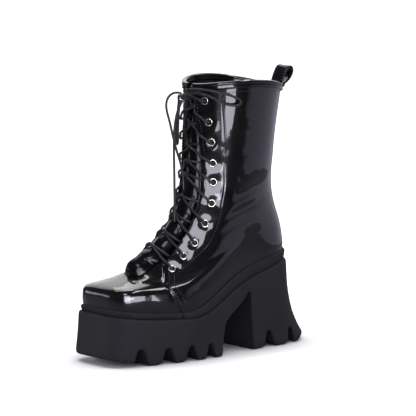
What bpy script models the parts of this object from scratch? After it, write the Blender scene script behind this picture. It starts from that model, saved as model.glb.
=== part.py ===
"""Platform lace-up boot for the left foot: a hollow patent upper on a lugged platform unit.

Frame: metres, +Z up, toe along -Y, outer (lateral) side along +X.
The origin is on the floor, on the heel's tread. Tables and routes are in millimetres.
"""

import bmesh
import bpy
import numpy as np
from math import cos, pi, radians, sin, sqrt
from mathutils import Matrix, Vector

MM = 0.001

# ---------------------------------------------------------------- driving dimensions, in millimetres
WALL = 2.4            # leather with its lining
FIT = 0.3             # gap left between pieces that touch
WELT_OUT = 2.6        # the ribbed band stands this far out of the upper
STAY_STEP = 0.8       # the lacing stays lie this much over the quarter
VAMP_STEP = -0.8      # the vamp lies this much under the quarter
STEP_RUN = 0.5        # length of the slope of such a step
EYELET_BORE = 2.3     # radius
EYELET_RIM = 4.3      # radius
EYELET_TALL = 1.0
EYELET_SEAT = 0.55    # over the stay's smooth surface, clear of its flat facets
LACE = 2.6            # diameter of the round waxed lace

# Rings of the upper, from the edge on the sole up to the collar. Front and back are the ends of a
# ring on the middle line; toe, ball, waist and heel are half widths along it; nose and tail are
# the shares of its length that its round ends take, and square is how square its front end is;
# planar is 0 for a ring that follows the sole and 1 for one in a flat plane, and crest is how far
# the ring rises at its sides.
RING_COLUMNS = ("front_y", "front_z", "back_y", "back_z", "toe", "ball", "waist", "heel",
                "nose", "square", "tail", "planar", "crest")
RINGS = (
    ("feather",     -202, 54.5, 42.5, 92.8, 42.0, 46.0, 36.0, 31.0, 0.15, 4.0, 0.17, 0.00, 0.0),
    ("toe_wall",    -204, 65.5, 44.5, 107., 43.0, 47.5, 37.5, 32.5, 0.15, 4.0, 0.17, 0.00, 0.0),
    ("toe_edge",    -204, 77.0, 44.0, 117., 42.6, 47.0, 38.0, 33.0, 0.15, 3.9, 0.18, 0.00, 0.8),
    ("toe_ridge",   -200, 83.6, 42.5, 127., 39.5, 44.8, 38.0, 33.0, 0.15, 3.7, 0.19, 0.00, 1.6),
    ("toe_top",     -189, 87.2, 40.5, 136., 32.0, 39.0, 37.5, 33.0, 0.18, 2.9, 0.21, 0.10, 0.8),
    ("vamp",        -175, 90.2, 38.0, 144., 29.0, 37.5, 37.0, 33.5, 0.20, 2.5, 0.24, 0.20, 0.0),
    ("throat",      -161, 94.0, 35.2, 152., 28.0, 36.5, 36.5, 34.0, 0.24, 2.3, 0.28, 0.32, 0.0),
    ("lower_lace",  -146, 102., 33.0, 160., 28.0, 35.5, 36.0, 34.0, 0.28, 2.2, 0.32, 0.45, 0.0),
    ("instep",      -131, 113., 31.5, 168., 28.0, 35.0, 35.5, 34.0, 0.33, 2.1, 0.37, 0.60, 0.0),
    ("cuneiform",   -117, 126., 30.7, 177., 30.0, 35.0, 35.0, 33.5, 0.39, 2.0, 0.43, 0.75, 0.0),
    ("bend",        -104, 141., 30.8, 187., 33.0, 35.0, 35.0, 33.5, 0.45, 2.0, 0.48, 0.88, 0.0),
    ("ankle",       -94., 158., 31.4, 198., 35.0, 35.5, 35.5, 34.5, 0.49, 2.0, 0.50, 1.00, 0.0),
    ("over_ankle",  -87., 177., 32.2, 210., 36.5, 36.5, 36.5, 36.0, 0.50, 2.0, 0.50, 1.00, 0.0),
    ("low_shaft",   -83., 198., 33.0, 223., 37.5, 37.5, 37.5, 37.5, 0.50, 2.0, 0.50, 1.00, 0.0),
    ("shaft",       -80.5, 220., 34.5, 237., 38.8, 38.8, 38.8, 38.8, 0.50, 2.0, 0.50, 1.00, 0.4),
    ("mid_shaft",   -78.8, 243., 36.8, 253., 40.4, 40.4, 40.4, 40.4, 0.50, 2.0, 0.50, 1.00, 1.8),
    ("high_shaft",  -77.2, 267., 39.4, 268., 42.0, 42.0, 42.0, 42.0, 0.50, 2.0, 0.50, 1.00, 4.4),
    ("collar",      -76.0, 291.5, 42.0, 282., 43.5, 43.5, 43.5, 43.5, 0.50, 2.0, 0.50, 1.00, 7.5),
)
TOP = len(RINGS) - 1

THROAT_FOOT = 6.0     # level at which the throat begins
THROAT_ROUND = 0.3    # levels that its round foot takes
FOOT_GAP = 9.0        # half the gap over the round foot
# The throat, by level: gap is half the width between the lacing stays, seam is where the quarter's
# front edge crosses the vamp and stay is the stay's rear edge, both measured round the ring from
# the front middle line. Over the throat's foot the seam runs on inside the stay.
THROAT = (
    # level, gap, seam, stay
    (0.0, 0.0, 110.0, 128.0),
    (1.8, 0.0, 101.6, 118.0),
    (2.9, 0.0, 90.0, 106.0),
    (3.4, 0.0, 81.0, 96.0),
    (4.0, 0.0, 72.0, 83.0),
    (5.2, 0.0, 54.0, 71.0),
    (6.0, 0.0, 43.0, 69.5),
    (6.3, FOOT_GAP, 39.5, 73.0),
    (6.9, 13.5, 31.5, 81.0),
    (7.1, 15.5, 28.5, 82.0),
    (7.25, 23.5, 28.5, 82.0),
    (7.4, 26.0, 31.0, 81.0),
    (8.6, 25.0, 32.0, 72.5),
    (9.7, 24.5, 31.0, 63.0),
    (10.7, 24.2, 31.0, 56.0),
    (12.0, 22.2, 29.0, 51.0),
    (12.8, 20.5, 28.0, 48.0),
    (14.9, 13.0, 22.0, 44.0),
    (16.1, 6.8, 18.0, 41.0),
    (17.0, 4.0, 16.0, 39.0),
)
STAY_FOOT = 7.2       # level at which the stays' front edge ends, over the vamp
STAY_END = 4.7        # level at which the stays end behind the seam

# The eyelets of each stay, from the lowest up: level and reach.
EYELETS = ((6.19, 47.0), (7.20, 47.2), (8.06, 49.0), (9.53, 44.4), (10.99, 39.2), (12.31, 34.2),
           (13.35, 31.1), (14.43, 28.0), (15.38, 24.2), (16.35, 18.7))

# The sole's top edge along the boot and the height of the welt band over it, the line that the
# upper's rings follow over the band, and how far the middle line sways sideways.
SOLE = (
    # y, ledge, band, last, sway
    (-215, 55.8, 8.2, 52.6, -4.0),
    (-200, 54.2, 7.4, 51.6, -4.0),
    (-180, 51.2, 6.8, 50.1, -3.6),
    (-150, 48.4, 6.5, 48.7, -2.0),
    (-120, 46.3, 7.2, 50.2, 0.3),
    (-105, 46.6, 9.4, 54.3, 1.1),
    (-90., 50.6, 11.4, 60.7, 1.8),
    (-60., 64.8, 13.4, 75.2, 2.4),
    (-27., 78.6, 13.2, 88.9, 1.6),
    (5.0, 87.0, 11.4, 94.2, 0.1),
    (25.0, 91.2, 11.0, 95.2, 0.0),
    (60.0, 92.9, 11.0, 95.5, 0.0),
)

MATERIALS = {
    "patent_leather": ((0.010, 0.010, 0.011), 0.08, 0.0),
    "sole_rubber": ((0.022, 0.022, 0.024), 0.60, 0.0),
    "lining": ((0.030, 0.029, 0.030), 0.75, 0.0),
    "lace_cord": ((0.016, 0.016, 0.017), 0.55, 0.0),
    "eyelet_metal": ((0.62, 0.60, 0.55), 0.25, 1.0),
}


# ---------------------------------------------------------------- smooth tables
def smooth_read(table, at):
    """A row of a table at a fractional row number, on a Catmull-Rom curve through its rows."""
    rows = np.asarray(table, float)
    last = len(rows) - 1
    i = int(min(max(np.floor(at), 0), last - 1))
    t = at - i
    before = rows[i - 1] if i > 0 else 2 * rows[0] - rows[1]
    after = rows[i + 2] if i < last - 1 else 2 * rows[last] - rows[last - 1]
    a, b = rows[i], rows[i + 1]
    slope_a, slope_b = (b - before) / 2, (after - a) / 2
    return ((2 * t**3 - 3 * t**2 + 1) * a + (t**3 - 2 * t**2 + t) * slope_a
            + (-2 * t**3 + 3 * t**2) * b + (t**3 - t**2) * slope_b)


def along(xs, ys, at):
    """A smooth monotone curve through (xs, ys), read at one or many places."""
    xs, ys = np.asarray(xs, float), np.asarray(ys, float)
    slopes = np.diff(ys) / np.diff(xs)
    tangents = np.zeros(len(xs))
    tangents[0], tangents[-1] = slopes[0], slopes[-1]
    for i in range(1, len(xs) - 1):
        if slopes[i - 1] * slopes[i] > 0:
            tangents[i] = 2 / (1 / slopes[i - 1] + 1 / slopes[i])
    at = np.clip(np.asarray(at, float), xs[0], xs[-1])
    i = np.clip(np.searchsorted(xs, at, side="right") - 1, 0, len(xs) - 2)
    width = xs[i + 1] - xs[i]
    t = (at - xs[i]) / width
    return ((2 * t**3 - 3 * t**2 + 1) * ys[i] + (t**3 - 2 * t**2 + t) * width * tangents[i]
            + (-2 * t**3 + 3 * t**2) * ys[i + 1] + (t**3 - t**2) * width * tangents[i + 1])


def along_sole(column, y):
    """A column of the sole's table at y."""
    rows = np.asarray(SOLE, float)
    return along(rows[:, 0], rows[:, column], y)


def ledge_height(y):
    return along_sole(1, y)


def band_height(y):
    return along_sole(2, y)


def seat_height(level, y):
    """The line that a ring follows: the ledge at the feather, and the last's own from the first ring up."""
    return ledge_height(y) + min(level, 1.0) * (along_sole(3, y) - ledge_height(y))


def sway(y):
    return along_sole(4, y)


def throat(level):
    """(half the gap, the seam's reach, the stay's reach) at a level."""
    rows = np.asarray(THROAT, float)
    gap, seam, stay = (float(along(rows[:, 0], rows[:, k], level)) for k in (1, 2, 3))
    share = (level - THROAT_FOOT) / THROAT_ROUND
    if 0 < share < 1:
        gap = FOOT_GAP * sqrt(1 - (1 - share) ** 2)
    return gap, seam, stay


# ---------------------------------------------------------------- the upper's surface
HALF_POINTS = 120
SWAY_FADE = 0.8       # share of the sole's sway that a ring in a flat plane has lost
WIDTH_SHARES = (0.0, 0.12, 0.32, 0.62, 0.86, 1.0)  # where along a ring its half widths are read
_half_rings = {}


def half_ring(level, side):
    """Fine points and arc lengths of half a ring, front to back, on side +1 (outer) or -1."""
    key = (round(level, 5), side)
    if key in _half_rings:
        return _half_rings[key]
    row = dict(zip(RING_COLUMNS, smooth_read([r[1:] for r in RINGS], level)))
    nose, tail, square = row["nose"], row["tail"], row["square"]
    turn = np.linspace(0, pi / 2, HALF_POINTS // 3)
    front_at = nose * (1 - np.cos(turn) ** (2 / square))
    front_full = np.sin(turn) ** (2 / square)
    back_at = 1 - tail * (1 - np.sin(turn))
    back_full = np.cos(turn)
    middle_at = np.linspace(nose, 1 - tail, HALF_POINTS // 3 + 2)[1:-1]
    at = np.concatenate([front_at, middle_at, back_at])
    full = np.concatenate([front_full, np.ones(len(middle_at)), back_full])
    full[0] = full[-1] = 0
    half_widths = (row["toe"] * 0.97, row["toe"], row["ball"], row["waist"], row["heel"], row["heel"])
    width = full * along(WIDTH_SHARES, half_widths, at)
    y = row["front_y"] + at * (row["back_y"] - row["front_y"])
    flat_z = row["front_z"] + at * (row["back_z"] - row["front_z"])
    over_front = row["front_z"] - seat_height(level, row["front_y"])
    over_back = row["back_z"] - seat_height(level, row["back_y"])
    follow_z = seat_height(level, y) + over_front + at * (over_back - over_front)
    z = follow_z + row["planar"] * (flat_z - follow_z) + row["crest"] * 4 * at * (1 - at)
    sideways = sway(y) * (1 - row["planar"] * SWAY_FADE)
    points = np.stack([sideways + side * width, y, z], axis=1)
    length = np.concatenate([[0], np.cumsum(np.linalg.norm(np.diff(points, axis=0), axis=1))])
    _half_rings[key] = points, length
    return points, length


def ring_length(level, side):
    return half_ring(level, side)[1][-1]


def on_ring(level, reach, side):
    """The point of the upper's plain surface at a distance reach from the front middle line."""
    points, length = half_ring(level, side)
    return np.array([np.interp(reach, length, points[:, k]) for k in range(3)])


def surface_normal(level, reach, side):
    """Outward unit normal of the plain surface."""
    d_level, d_reach = 0.08, 1.5
    low, high = max(level - d_level, 0), min(level + d_level, TOP)
    full = ring_length(level, side)
    share = reach / full
    up = (on_ring(high, share * ring_length(high, side), side)
          - on_ring(low, share * ring_length(low, side), side))
    if reach < d_reach:  # across the front middle line
        across = on_ring(level, d_reach, side) - on_ring(level, d_reach, -side)
    elif reach > full - d_reach:
        across = (on_ring(level, ring_length(level, -side) - d_reach, -side)
                  - on_ring(level, full - d_reach, side))
    else:
        across = on_ring(level, reach + d_reach, side) - on_ring(level, reach - d_reach, side)
    normal = np.cross(across, up) * side
    return normal / np.linalg.norm(normal)


def upper_point(level, reach, side, lift=0.0):
    return on_ring(level, reach, side) + lift * surface_normal(level, reach, side)


# ---------------------------------------------------------------- making objects
def clear_scene():
    for obj in list(bpy.data.objects):
        bpy.data.objects.remove(obj)


def material(name):
    made = bpy.data.materials.get(name)
    if made is None:
        colour, roughness, metallic = MATERIALS[name]
        made = bpy.data.materials.new(name)
        made.use_nodes = True
        shader = made.node_tree.nodes["Principled BSDF"]
        shader.inputs["Base Color"].default_value = (*colour, 1)
        shader.inputs["Roughness"].default_value = roughness
        shader.inputs["Metallic"].default_value = metallic
        made.diffuse_color = (*colour, 1)
    return made


def make_object(name, points, faces, finish):
    """A named object from points in millimetres and faces."""
    mesh = bpy.data.meshes.new(name)
    corners = [tuple(float(c) * MM for c in point) for point in points]
    mesh.from_pydata(corners, [], [tuple(map(int, face)) for face in faces])
    mesh.validate()
    work = bmesh.new()
    work.from_mesh(mesh)
    bmesh.ops.remove_doubles(work, verts=work.verts, dist=0.00001)
    bmesh.ops.recalc_face_normals(work, faces=work.faces)
    if work.calc_volume(signed=True) < 0:
        bmesh.ops.reverse_faces(work, faces=work.faces)
    work.to_mesh(mesh)
    work.free()
    mesh.shade_smooth()
    mesh.set_sharp_from_angle(angle=radians(40))
    obj = bpy.data.objects.new(name, mesh)
    bpy.context.scene.collection.objects.link(obj)
    mesh.materials.append(material(finish))
    return obj


def bridge(first, second, closed):
    """Quads between two rows of point numbers of the same length."""
    count = len(first)
    ends = range(count if closed else count - 1)
    return [(first[i], first[(i + 1) % count], second[(i + 1) % count], second[i]) for i in ends]


def closed_strip_mesh(rows):
    """Points and faces of a solid ring: each row is one closed loop, and the last joins the first."""
    points = np.concatenate(rows)
    count = len(rows[0])
    numbers = [list(range(k * count, (k + 1) * count)) for k in range(len(rows))]
    faces = []
    for k in range(len(rows)):
        faces += bridge(numbers[k], numbers[(k + 1) % len(rows)], closed=True)
    return points, faces


def boolean(obj, cutter, operation="DIFFERENCE"):
    """Applies a Boolean to obj and removes the cutter."""
    modifier = obj.modifiers.new("cut", "BOOLEAN")
    modifier.operation = operation
    modifier.solver = "EXACT"
    modifier.object = cutter
    graph = bpy.context.evaluated_depsgraph_get()
    mesh = bpy.data.meshes.new_from_object(obj.evaluated_get(graph))
    obj.modifiers.clear()
    old = obj.data
    obj.data = mesh
    bpy.data.meshes.remove(old)
    bpy.data.objects.remove(cutter)
    return obj


# ---------------------------------------------------------------- the upper
VAMP_SHARES = (0.0, 0.17, 0.27, 0.34, 0.41, 0.50, 0.72, 1.0)
STAY_SPANS = 2
QUARTER_SPANS = 8
UPPER_LEVELS = (0.0, 0.5, 1.0, 2.0, 2.5, 3.0, 3.5, 4.0, 4.6, 4.8, 5.5, 6.0, 6.06, 6.3, 6.8, 7.12, 7.26,
                7.5, 8.5, 9.6, 10.8, 12.0, 13.4, 14.8, 16.0, 17.0)


def outer_lift(level, reach):
    """How far the outer face stands over the plain surface: under it on the vamp, over it on the stays."""
    gap, seam, stay = throat(level)
    front = STAY_STEP if level > STAY_FOOT else VAMP_STEP
    middle = STAY_STEP if level > STAY_END else 0.0
    into_middle = min(max((reach - seam) / STEP_RUN + 0.5, 0), 1)
    into_quarter = min(max((reach - stay) / STEP_RUN + 0.5, 0), 1)
    return (front + (middle - front) * into_middle) * (1 - into_quarter)


def upper_columns(level, side):
    """Reaches of a ring's points from the throat to the back."""
    gap, seam, stay = throat(level)
    half = STEP_RUN / 2
    full = ring_length(level, side)
    even = level / TOP
    vamp = []
    for k, share in enumerate(VAMP_SHARES):
        even_share = k / (len(VAMP_SHARES) - 1)
        vamp.append(gap + (share + (even_share - share) * even) * (seam - half - gap))
    lacing = list(np.linspace(seam + half, stay - half, STAY_SPANS + 1))
    quarter = list(np.linspace(stay + half, full, QUARTER_SPANS + 1))
    return vamp + lacing + quarter


def upper_row(level, inside):
    """One ring from the throat's outer edge round the back to its inner edge."""
    row = []
    for side in (1, -1):
        half_row = []
        for reach in upper_columns(level, side):
            lift = -WALL if inside else outer_lift(level, reach)
            half_row.append(upper_point(level, reach, side, lift))
        row.append(half_row)
    return row[0][:-1] + row[1][::-1]


def make_upper():
    outer = [upper_row(level, False) for level in UPPER_LEVELS]
    inner = [upper_row(level, True) for level in UPPER_LEVELS]
    count = len(outer[0])
    points = np.concatenate([np.array(row) for row in outer + inner])
    first_inner = len(outer) * count
    numbers = [list(range(k * count, (k + 1) * count)) for k in range(2 * len(outer))]
    faces = []
    for k in range(len(outer) - 1):
        faces += bridge(numbers[k], numbers[k + 1], closed=False)
        faces += bridge(numbers[len(outer) + k + 1], numbers[len(outer) + k], closed=False)
        if UPPER_LEVELS[k + 1] > THROAT_FOOT:
            for end in (0, count - 1):
                low, high = numbers[k][end], numbers[k + 1][end]
                faces.append((low, high, high + first_inner, low + first_inner))
    for k in (0, len(outer) - 1):
        faces += bridge(numbers[k], numbers[k + len(outer)], closed=False)
    return make_object("upper", points, faces, "patent_leather")


# ---------------------------------------------------------------- the sole unit
# The sole's wall, by share of the height from the ledge down to the tread: out is its distance
# from the feather line, toe and back are what is added towards the front and the rear.
SOLE_WALL = (
    # share, out, toe, back
    (0.00, 4.9, 0.0, 0.0),
    (0.03, 5.6, 0.3, 0.3),
    (0.30, 5.4, 1.8, 2.0),
    (0.60, 5.2, 3.8, 7.5),
    (0.85, 5.0, 5.8, 17.0),
    (0.95, 4.8, 6.4, 22.0),
    (1.00, 3.8, 5.4, 20.0),
)
TREAD = ((-215, 9.0), (-195, 6.0), (-172, 0.0), (40, 0.0), (64, 3.0))  # y, height over the floor
# The side view of the arch between forefoot and heel, from the forefoot's rear edge to the breast.
ARCH = ((-74.5, -5.0), (-74.0, 5.0), (-71.5, 17.0), (-68.5, 29.0), (-65.5, 37.0), (-58.0, 43.0),
        (-45.0, 50.5), (-36.0, 57.5), (-29.5, 64.0), (-26.0, 66.0), (-23.0, -5.0))

# The gaps between the lugs, alike on both sides: middle, width at the foot and height.
LUG_GAPS = (
    # y, width, height
    (-180.5, 16.5, 19.0),
    (-146.9, 14.2, 17.5),
    (-117.4, 13.6, 17.5),
    (-91.4, 11.4, 16.5),
    (1.5, 12.8, 18.5),
    (33.5, 11.2, 18.5),
)
GAP_DEPTH = 20.0      # from the side inwards
GAP_SHARE = 0.96      # share of the wall's height at which the side is measured
CUT_BEYOND = 20.0     # a gap's cutter reaches this far out of the side
ARCH_REACH = 80.0     # half the length of the arch's cutter
CROWN_SHARE = 0.27    # radius of a gap's round crown, as a share of its width
CROWN_TURNS = (0.2, 0.9, pi / 2)  # where the crown's points lie, in radians up from its side
# The lugs' round corners at the foot of a gap.
GAP_FOOT = (
    # beyond the gap's side, height
    (4.5, -3.0),
    (4.5, 0.4),
    (1.6, 1.6),
    (0.0, 4.6),
)


def tread_height(y):
    rows = np.asarray(TREAD, float)
    return along(rows[:, 0], rows[:, 1], y)


def feather_outline():
    """Plan points and outward normals of the feather line, outer side first, round to the front again."""
    plans, normals = [], []
    for side in (1, -1):
        points, length = half_ring(0.0, side)
        at = np.array(upper_columns(0.0, side))
        x, y = (np.interp(at, length, points[:, k]) for k in (0, 1))
        dx = np.interp(at + 1, length, points[:, 0]) - np.interp(at - 1, length, points[:, 0])
        dy = np.interp(at + 1, length, points[:, 1]) - np.interp(at - 1, length, points[:, 1])
        dx[0], dy[0], dx[-1], dy[-1] = side, 0, -side, 0
        normal = np.stack([dy, -dx], axis=1) * side
        plans.append(np.stack([x, y], axis=1))
        normals.append(normal / np.linalg.norm(normal, axis=1)[:, None])
    return (np.concatenate([plans[0], plans[1][-2:0:-1]]),
            np.concatenate([normals[0], normals[1][-2:0:-1]]))


def sole_wall(share):
    """One ring of the sole's wall."""
    row = np.asarray(SOLE_WALL, float)
    out, toe, back = (float(along(row[:, 0], row[:, k], share)) for k in (1, 2, 3))
    plan, normals = feather_outline()
    reach = out + toe * np.clip(-normals[:, 1], 0, 1) ** 2 + back * np.clip(normals[:, 1], 0, 1)
    plan = plan + normals * reach[:, None]
    top, bottom = ledge_height(plan[:, 1]), tread_height(plan[:, 1])
    return np.column_stack([plan, top + share * (bottom - top)])


def ladder(numbers, flip):
    """Faces across a ring of point numbers, from one side to the other."""
    count = len(numbers)
    faces = []
    for k in range(count // 2):
        near, far = k, -k % count
        near_next, far_next = k + 1, -(k + 1) % count
        loop = [numbers[near], numbers[near_next], numbers[far_next], numbers[far]]
        loop = list(dict.fromkeys(loop))
        faces.append(tuple(loop[::-1] if flip else loop))
    return faces


def make_outsole():
    rings = [sole_wall(share) for share, *_ in SOLE_WALL]
    count = len(rings[0])
    numbers = [list(range(k * count, (k + 1) * count)) for k in range(len(rings))]
    faces = ladder(numbers[0], False) + ladder(numbers[-1], True)
    for k in range(len(rings) - 1):
        faces += bridge(numbers[k], numbers[k + 1], closed=True)
    sole = make_object("outsole", np.concatenate(rings), faces, "sole_rubber")
    boolean(sole, prism("arch_cutter", ARCH, -ARCH_REACH, ARCH_REACH))
    for y, width, height in LUG_GAPS:
        profile = gap_profile(y, width, height)
        for side in (1, -1):
            edge = side_of_sole(y, side)
            inner, outer = edge - side * GAP_DEPTH, edge + side * CUT_BEYOND
            boolean(sole, prism("lug_cutter", profile, min(inner, outer), max(inner, outer)))
    sole.data.shade_smooth()
    sole.data.set_sharp_from_angle(angle=radians(40))
    return sole


def side_of_sole(y, side):
    ring = sole_wall(GAP_SHARE)
    half = ring[ring[:, 0] * side > 0]
    half = half[np.argsort(half[:, 1])]
    return float(np.interp(y, half[:, 1], half[:, 0]))


def gap_profile(y, width, height):
    """An upside-down U that narrows upwards, with rounded lug corners at its foot."""
    half = [(-width / 2 - beyond, up) for beyond, up in GAP_FOOT]
    crown = width * CROWN_SHARE
    half += [(-crown * cos(turn), height - crown + crown * sin(turn)) for turn in CROWN_TURNS]
    return [(y + a, b) for a, b in half] + [(y - a, b) for a, b in half[-2::-1]]


def prism(name, profile, x_low, x_high):
    """A cutter: a (y, z) profile stretched along x."""
    count = len(profile)
    points = [(x, y, z) for x in (x_low, x_high) for y, z in profile]
    faces = [tuple(range(count)), tuple(range(2 * count - 1, count - 1, -1))]
    faces += bridge(list(range(count)), list(range(count, 2 * count)), closed=True)
    cutter = make_object(name, points, faces, "sole_rubber")
    cutter.hide_render = True
    cutter.display_type = "WIRE"
    return cutter


# ---------------------------------------------------------------- the ribbed welt band
# Section of the band: share of its height, and distance out from the upper.
WELT_SECTION = ((0.03, FIT), (0.55, FIT), (0.94, FIT), (1.0, 1.4), (0.9, WELT_OUT), (0.08, WELT_OUT))


def band_level(share, reach, side):
    """Level of the upper at a share of the band's height."""
    foot, first = (on_ring(level, reach, side) for level in (0.0, 1.0))
    return share * band_height(foot[1]) / (first[2] - foot[2])


def make_welt():
    rows = []
    for share, lift in WELT_SECTION:
        halves = []
        for side in (1, -1):
            half = []
            for column, foot_reach in enumerate(upper_columns(0.0, side)):
                level = band_level(share, foot_reach, side)
                reach = upper_columns(level, side)[column]
                half.append(upper_point(level, reach, side, lift + outer_lift(level, reach)))
            halves.append(half)
        rows.append(np.array(halves[0] + halves[1][-2:0:-1]))
    points, faces = closed_strip_mesh(rows)
    return make_object("welt", points, faces, "sole_rubber")


# ---------------------------------------------------------------- tongue and insole
TONGUE_THICK = 2.0
LACE_SINK = 3.6       # the tongue is down at its full depth this far in from a stay's edge
LEAST_SINK = 0.55     # share of it at the throat's foot
SINK_LEVELS = 0.7     # levels over the foot by which it is whole
LEAST_SWELL = 3.0     # half the width of the swell at the very foot
TONGUE_LEVELS = (5.5, 6.06, 6.17, 6.4, 6.9, 7.6, 8.6, 9.8, 11.3, 12.8, 14.2, 15.4, 16.9)
TONGUE_SHARES = (0.0, 0.2, 0.37, 0.6, 0.8, 1.0)
# The tongue, by level: half its width, how deep its edges lie and how far its middle swells.
TONGUE = (
    # level, wide, sunk, bulge
    (5.5, 17.0, 3.2, 0.0),
    (6.06, 22.0, 3.6, 0.0),
    (6.22, 24.0, 4.2, 12.0),
    (6.5, 27.0, 5.8, 18.0),
    (7.0, 32.0, 7.2, 19.0),
    (8.0, 38.0, 7.0, 15.0),
    (9.5, 37.0, 6.6, 10.5),
    (12.0, 34.0, 6.6, 6.2),
    (14.0, 27.0, 6.6, 4.6),
    (16.0, 20.0, 6.6, 2.0),
    (17.0, 17.0, 6.6, 1.4),
)


def tongue_lift(level, reach):
    """Outer face of the tongue: room for the lace under the stays, and a swell between them."""
    rows = np.asarray(TONGUE, float)
    sunk, bulge = (float(along(rows[:, 0], rows[:, k], level)) for k in (2, 3))
    sink = LACE_SINK * min(max((level - THROAT_FOOT) / SINK_LEVELS, LEAST_SINK), 1)
    swell_half = max(throat(level)[0] - sink, LEAST_SWELL)
    share = min(reach / swell_half, 1)
    return -sunk + bulge * (1 - share**2) ** 1.2


def make_tongue():
    rows = np.asarray(TONGUE, float)
    faces_points = []
    for depth in (0.0, TONGUE_THICK):
        for level in TONGUE_LEVELS:
            wide = float(along(rows[:, 0], rows[:, 1], level))
            row = []
            for side in (1, -1):
                half = [upper_point(level, s * wide, side, tongue_lift(level, s * wide) - depth)
                        for s in TONGUE_SHARES]
                row.append(half)
            faces_points.append(row[1][:0:-1] + row[0])
    count = len(faces_points[0])
    levels = len(TONGUE_LEVELS)
    numbers = [list(range(k * count, (k + 1) * count)) for k in range(2 * levels)]
    faces = []
    for k in range(levels - 1):
        faces += bridge(numbers[k], numbers[k + 1], closed=False)
        faces += bridge(numbers[levels + k + 1], numbers[levels + k], closed=False)
        for end in (0, count - 1):
            faces.append((numbers[k][end], numbers[k + 1][end],
                          numbers[levels + k + 1][end], numbers[levels + k][end]))
    for k in (0, levels - 1):
        faces += bridge(numbers[k], numbers[k + levels], closed=False)
    return make_object("tongue", np.concatenate(faces_points), faces, "patent_leather")


INSOLE_THICK = 3.0
INSOLE_INSET = 0.7    # from the lining
INSOLE_BEVEL = 0.8    # round its top edge


def make_insole():
    plan, normals = feather_outline()
    rings = []
    top = FIT + INSOLE_THICK
    for up, inset in ((FIT, 0.0), (top - INSOLE_BEVEL, 0.0), (top, INSOLE_BEVEL)):
        edge = plan - normals * (WALL + INSOLE_INSET + inset)
        rings.append(np.column_stack([edge, ledge_height(edge[:, 1]) + up]))
    count = len(plan)
    numbers = [list(range(k * count, (k + 1) * count)) for k in range(len(rings))]
    faces = ladder(numbers[0], False) + ladder(numbers[-1], True)
    for k in range(len(rings) - 1):
        faces += bridge(numbers[k], numbers[k + 1], closed=True)
    return make_object("insole", np.concatenate(rings), faces, "lining")


# ---------------------------------------------------------------- collar binding, back stay, pull loop
# Section of the binding, in distance out from the plain surface and height over the top ring.
BINDING_SECTION = ((1.3, -5.0), (2.1, -5.0), (2.3, -0.8), (2.7, 1.4), (1.4, 3.1), (-1.2, 3.2),
                   (-2.6, 1.6), (-2.0, 0.5), (1.3, 0.5))


def make_binding():
    gap = throat(TOP)[0]
    stations = []
    for side in (1, -1):
        half = []
        rear = upper_columns(TOP, side)[len(VAMP_SHARES) + 1:]
        for reach in list(np.linspace(gap, rear[0], 4)[:-1]) + rear:
            half.append((on_ring(TOP, reach, side), surface_normal(TOP, reach, side)))
        stations.append(half)
    path = stations[0][:-1] + stations[1][::-1]
    points = []
    for place, normal in path:
        outward = np.array([normal[0], normal[1], 0])
        outward /= np.linalg.norm(outward)
        points += [place + out * outward + np.array([0, 0, up]) for out, up in BINDING_SECTION]
    faces = tube_faces(len(path), len(BINDING_SECTION))
    return make_object("collar_binding", points, faces, "patent_leather")


def tube_faces(rings, sides):
    """Faces of a capped tube of rings of points."""
    numbers = [list(range(k * sides, (k + 1) * sides)) for k in range(rings)]
    faces = [tuple(numbers[0]), tuple(numbers[-1][::-1])]
    for k in range(rings - 1):
        faces += bridge(numbers[k], numbers[k + 1], closed=True)
    return faces


BACK_STAY_HALF = 9.0
BACK_STAY_LEVELS = (1.1, 2.0, 3.0, 4.5, 6.0, 7.5, 9.0, 10.5, 12.0, 13.5, 15.0, 16.6)
BACK_STAY_LIFTS = (FIT, FIT + 1.1)


def make_back_stay():
    points = []
    for level in BACK_STAY_LEVELS:
        places = [(1, BACK_STAY_HALF), (1, BACK_STAY_HALF / 2), (1, 0.0)]
        places += [(-1, BACK_STAY_HALF / 2), (-1, BACK_STAY_HALF)]
        for lift, row in zip(BACK_STAY_LIFTS, (places[::-1], places)):
            for side, back in row:
                points.append(upper_point(level, ring_length(level, side) - back, side, lift))
    return make_object("back_stay", points, tube_faces(len(BACK_STAY_LEVELS), 10), "patent_leather")


# Side view of the pull loop's strap, from its foot on the rim round to its foot behind it.
LOOP_PATH = ((45.9, 280.6), (46.2, 286.0), (48.3, 292.0), (51.2, 298.0), (54.0, 302.0), (57.6, 303.4),
             (60.6, 301.4), (61.2, 297.2), (58.4, 291.6), (53.4, 287.2), (49.4, 284.6), (48.0, 281.2))
LOOP_HALF_WIDE = 10.0
LOOP_THICK = 1.6


def make_pull_loop():
    path = np.array(LOOP_PATH)
    points = []
    for k, (y, z) in enumerate(path):
        before, after = path[max(k - 1, 0)], path[min(k + 1, len(path) - 1)]
        along_path = (after - before) / np.linalg.norm(after - before)
        across = np.array([-along_path[1], along_path[0]]) * LOOP_THICK / 2
        for way, edges in ((-1, (-1, 1)), (1, (1, -1))):
            for edge in edges:
                points.append((edge * LOOP_HALF_WIDE, y + way * across[0], z + way * across[1]))
    return make_object("pull_loop", points, tube_faces(len(path), 4), "patent_leather")


# ---------------------------------------------------------------- eyelets
EYELET_TURNS = 8


def eyelet_place(number, side):
    """Middle of an eyelet on the stay's outer face, and the axis that it stands on."""
    level, reach = EYELETS[number]
    return upper_point(level, reach, side, STAY_STEP + EYELET_SEAT), surface_normal(level, reach, side)


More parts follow.
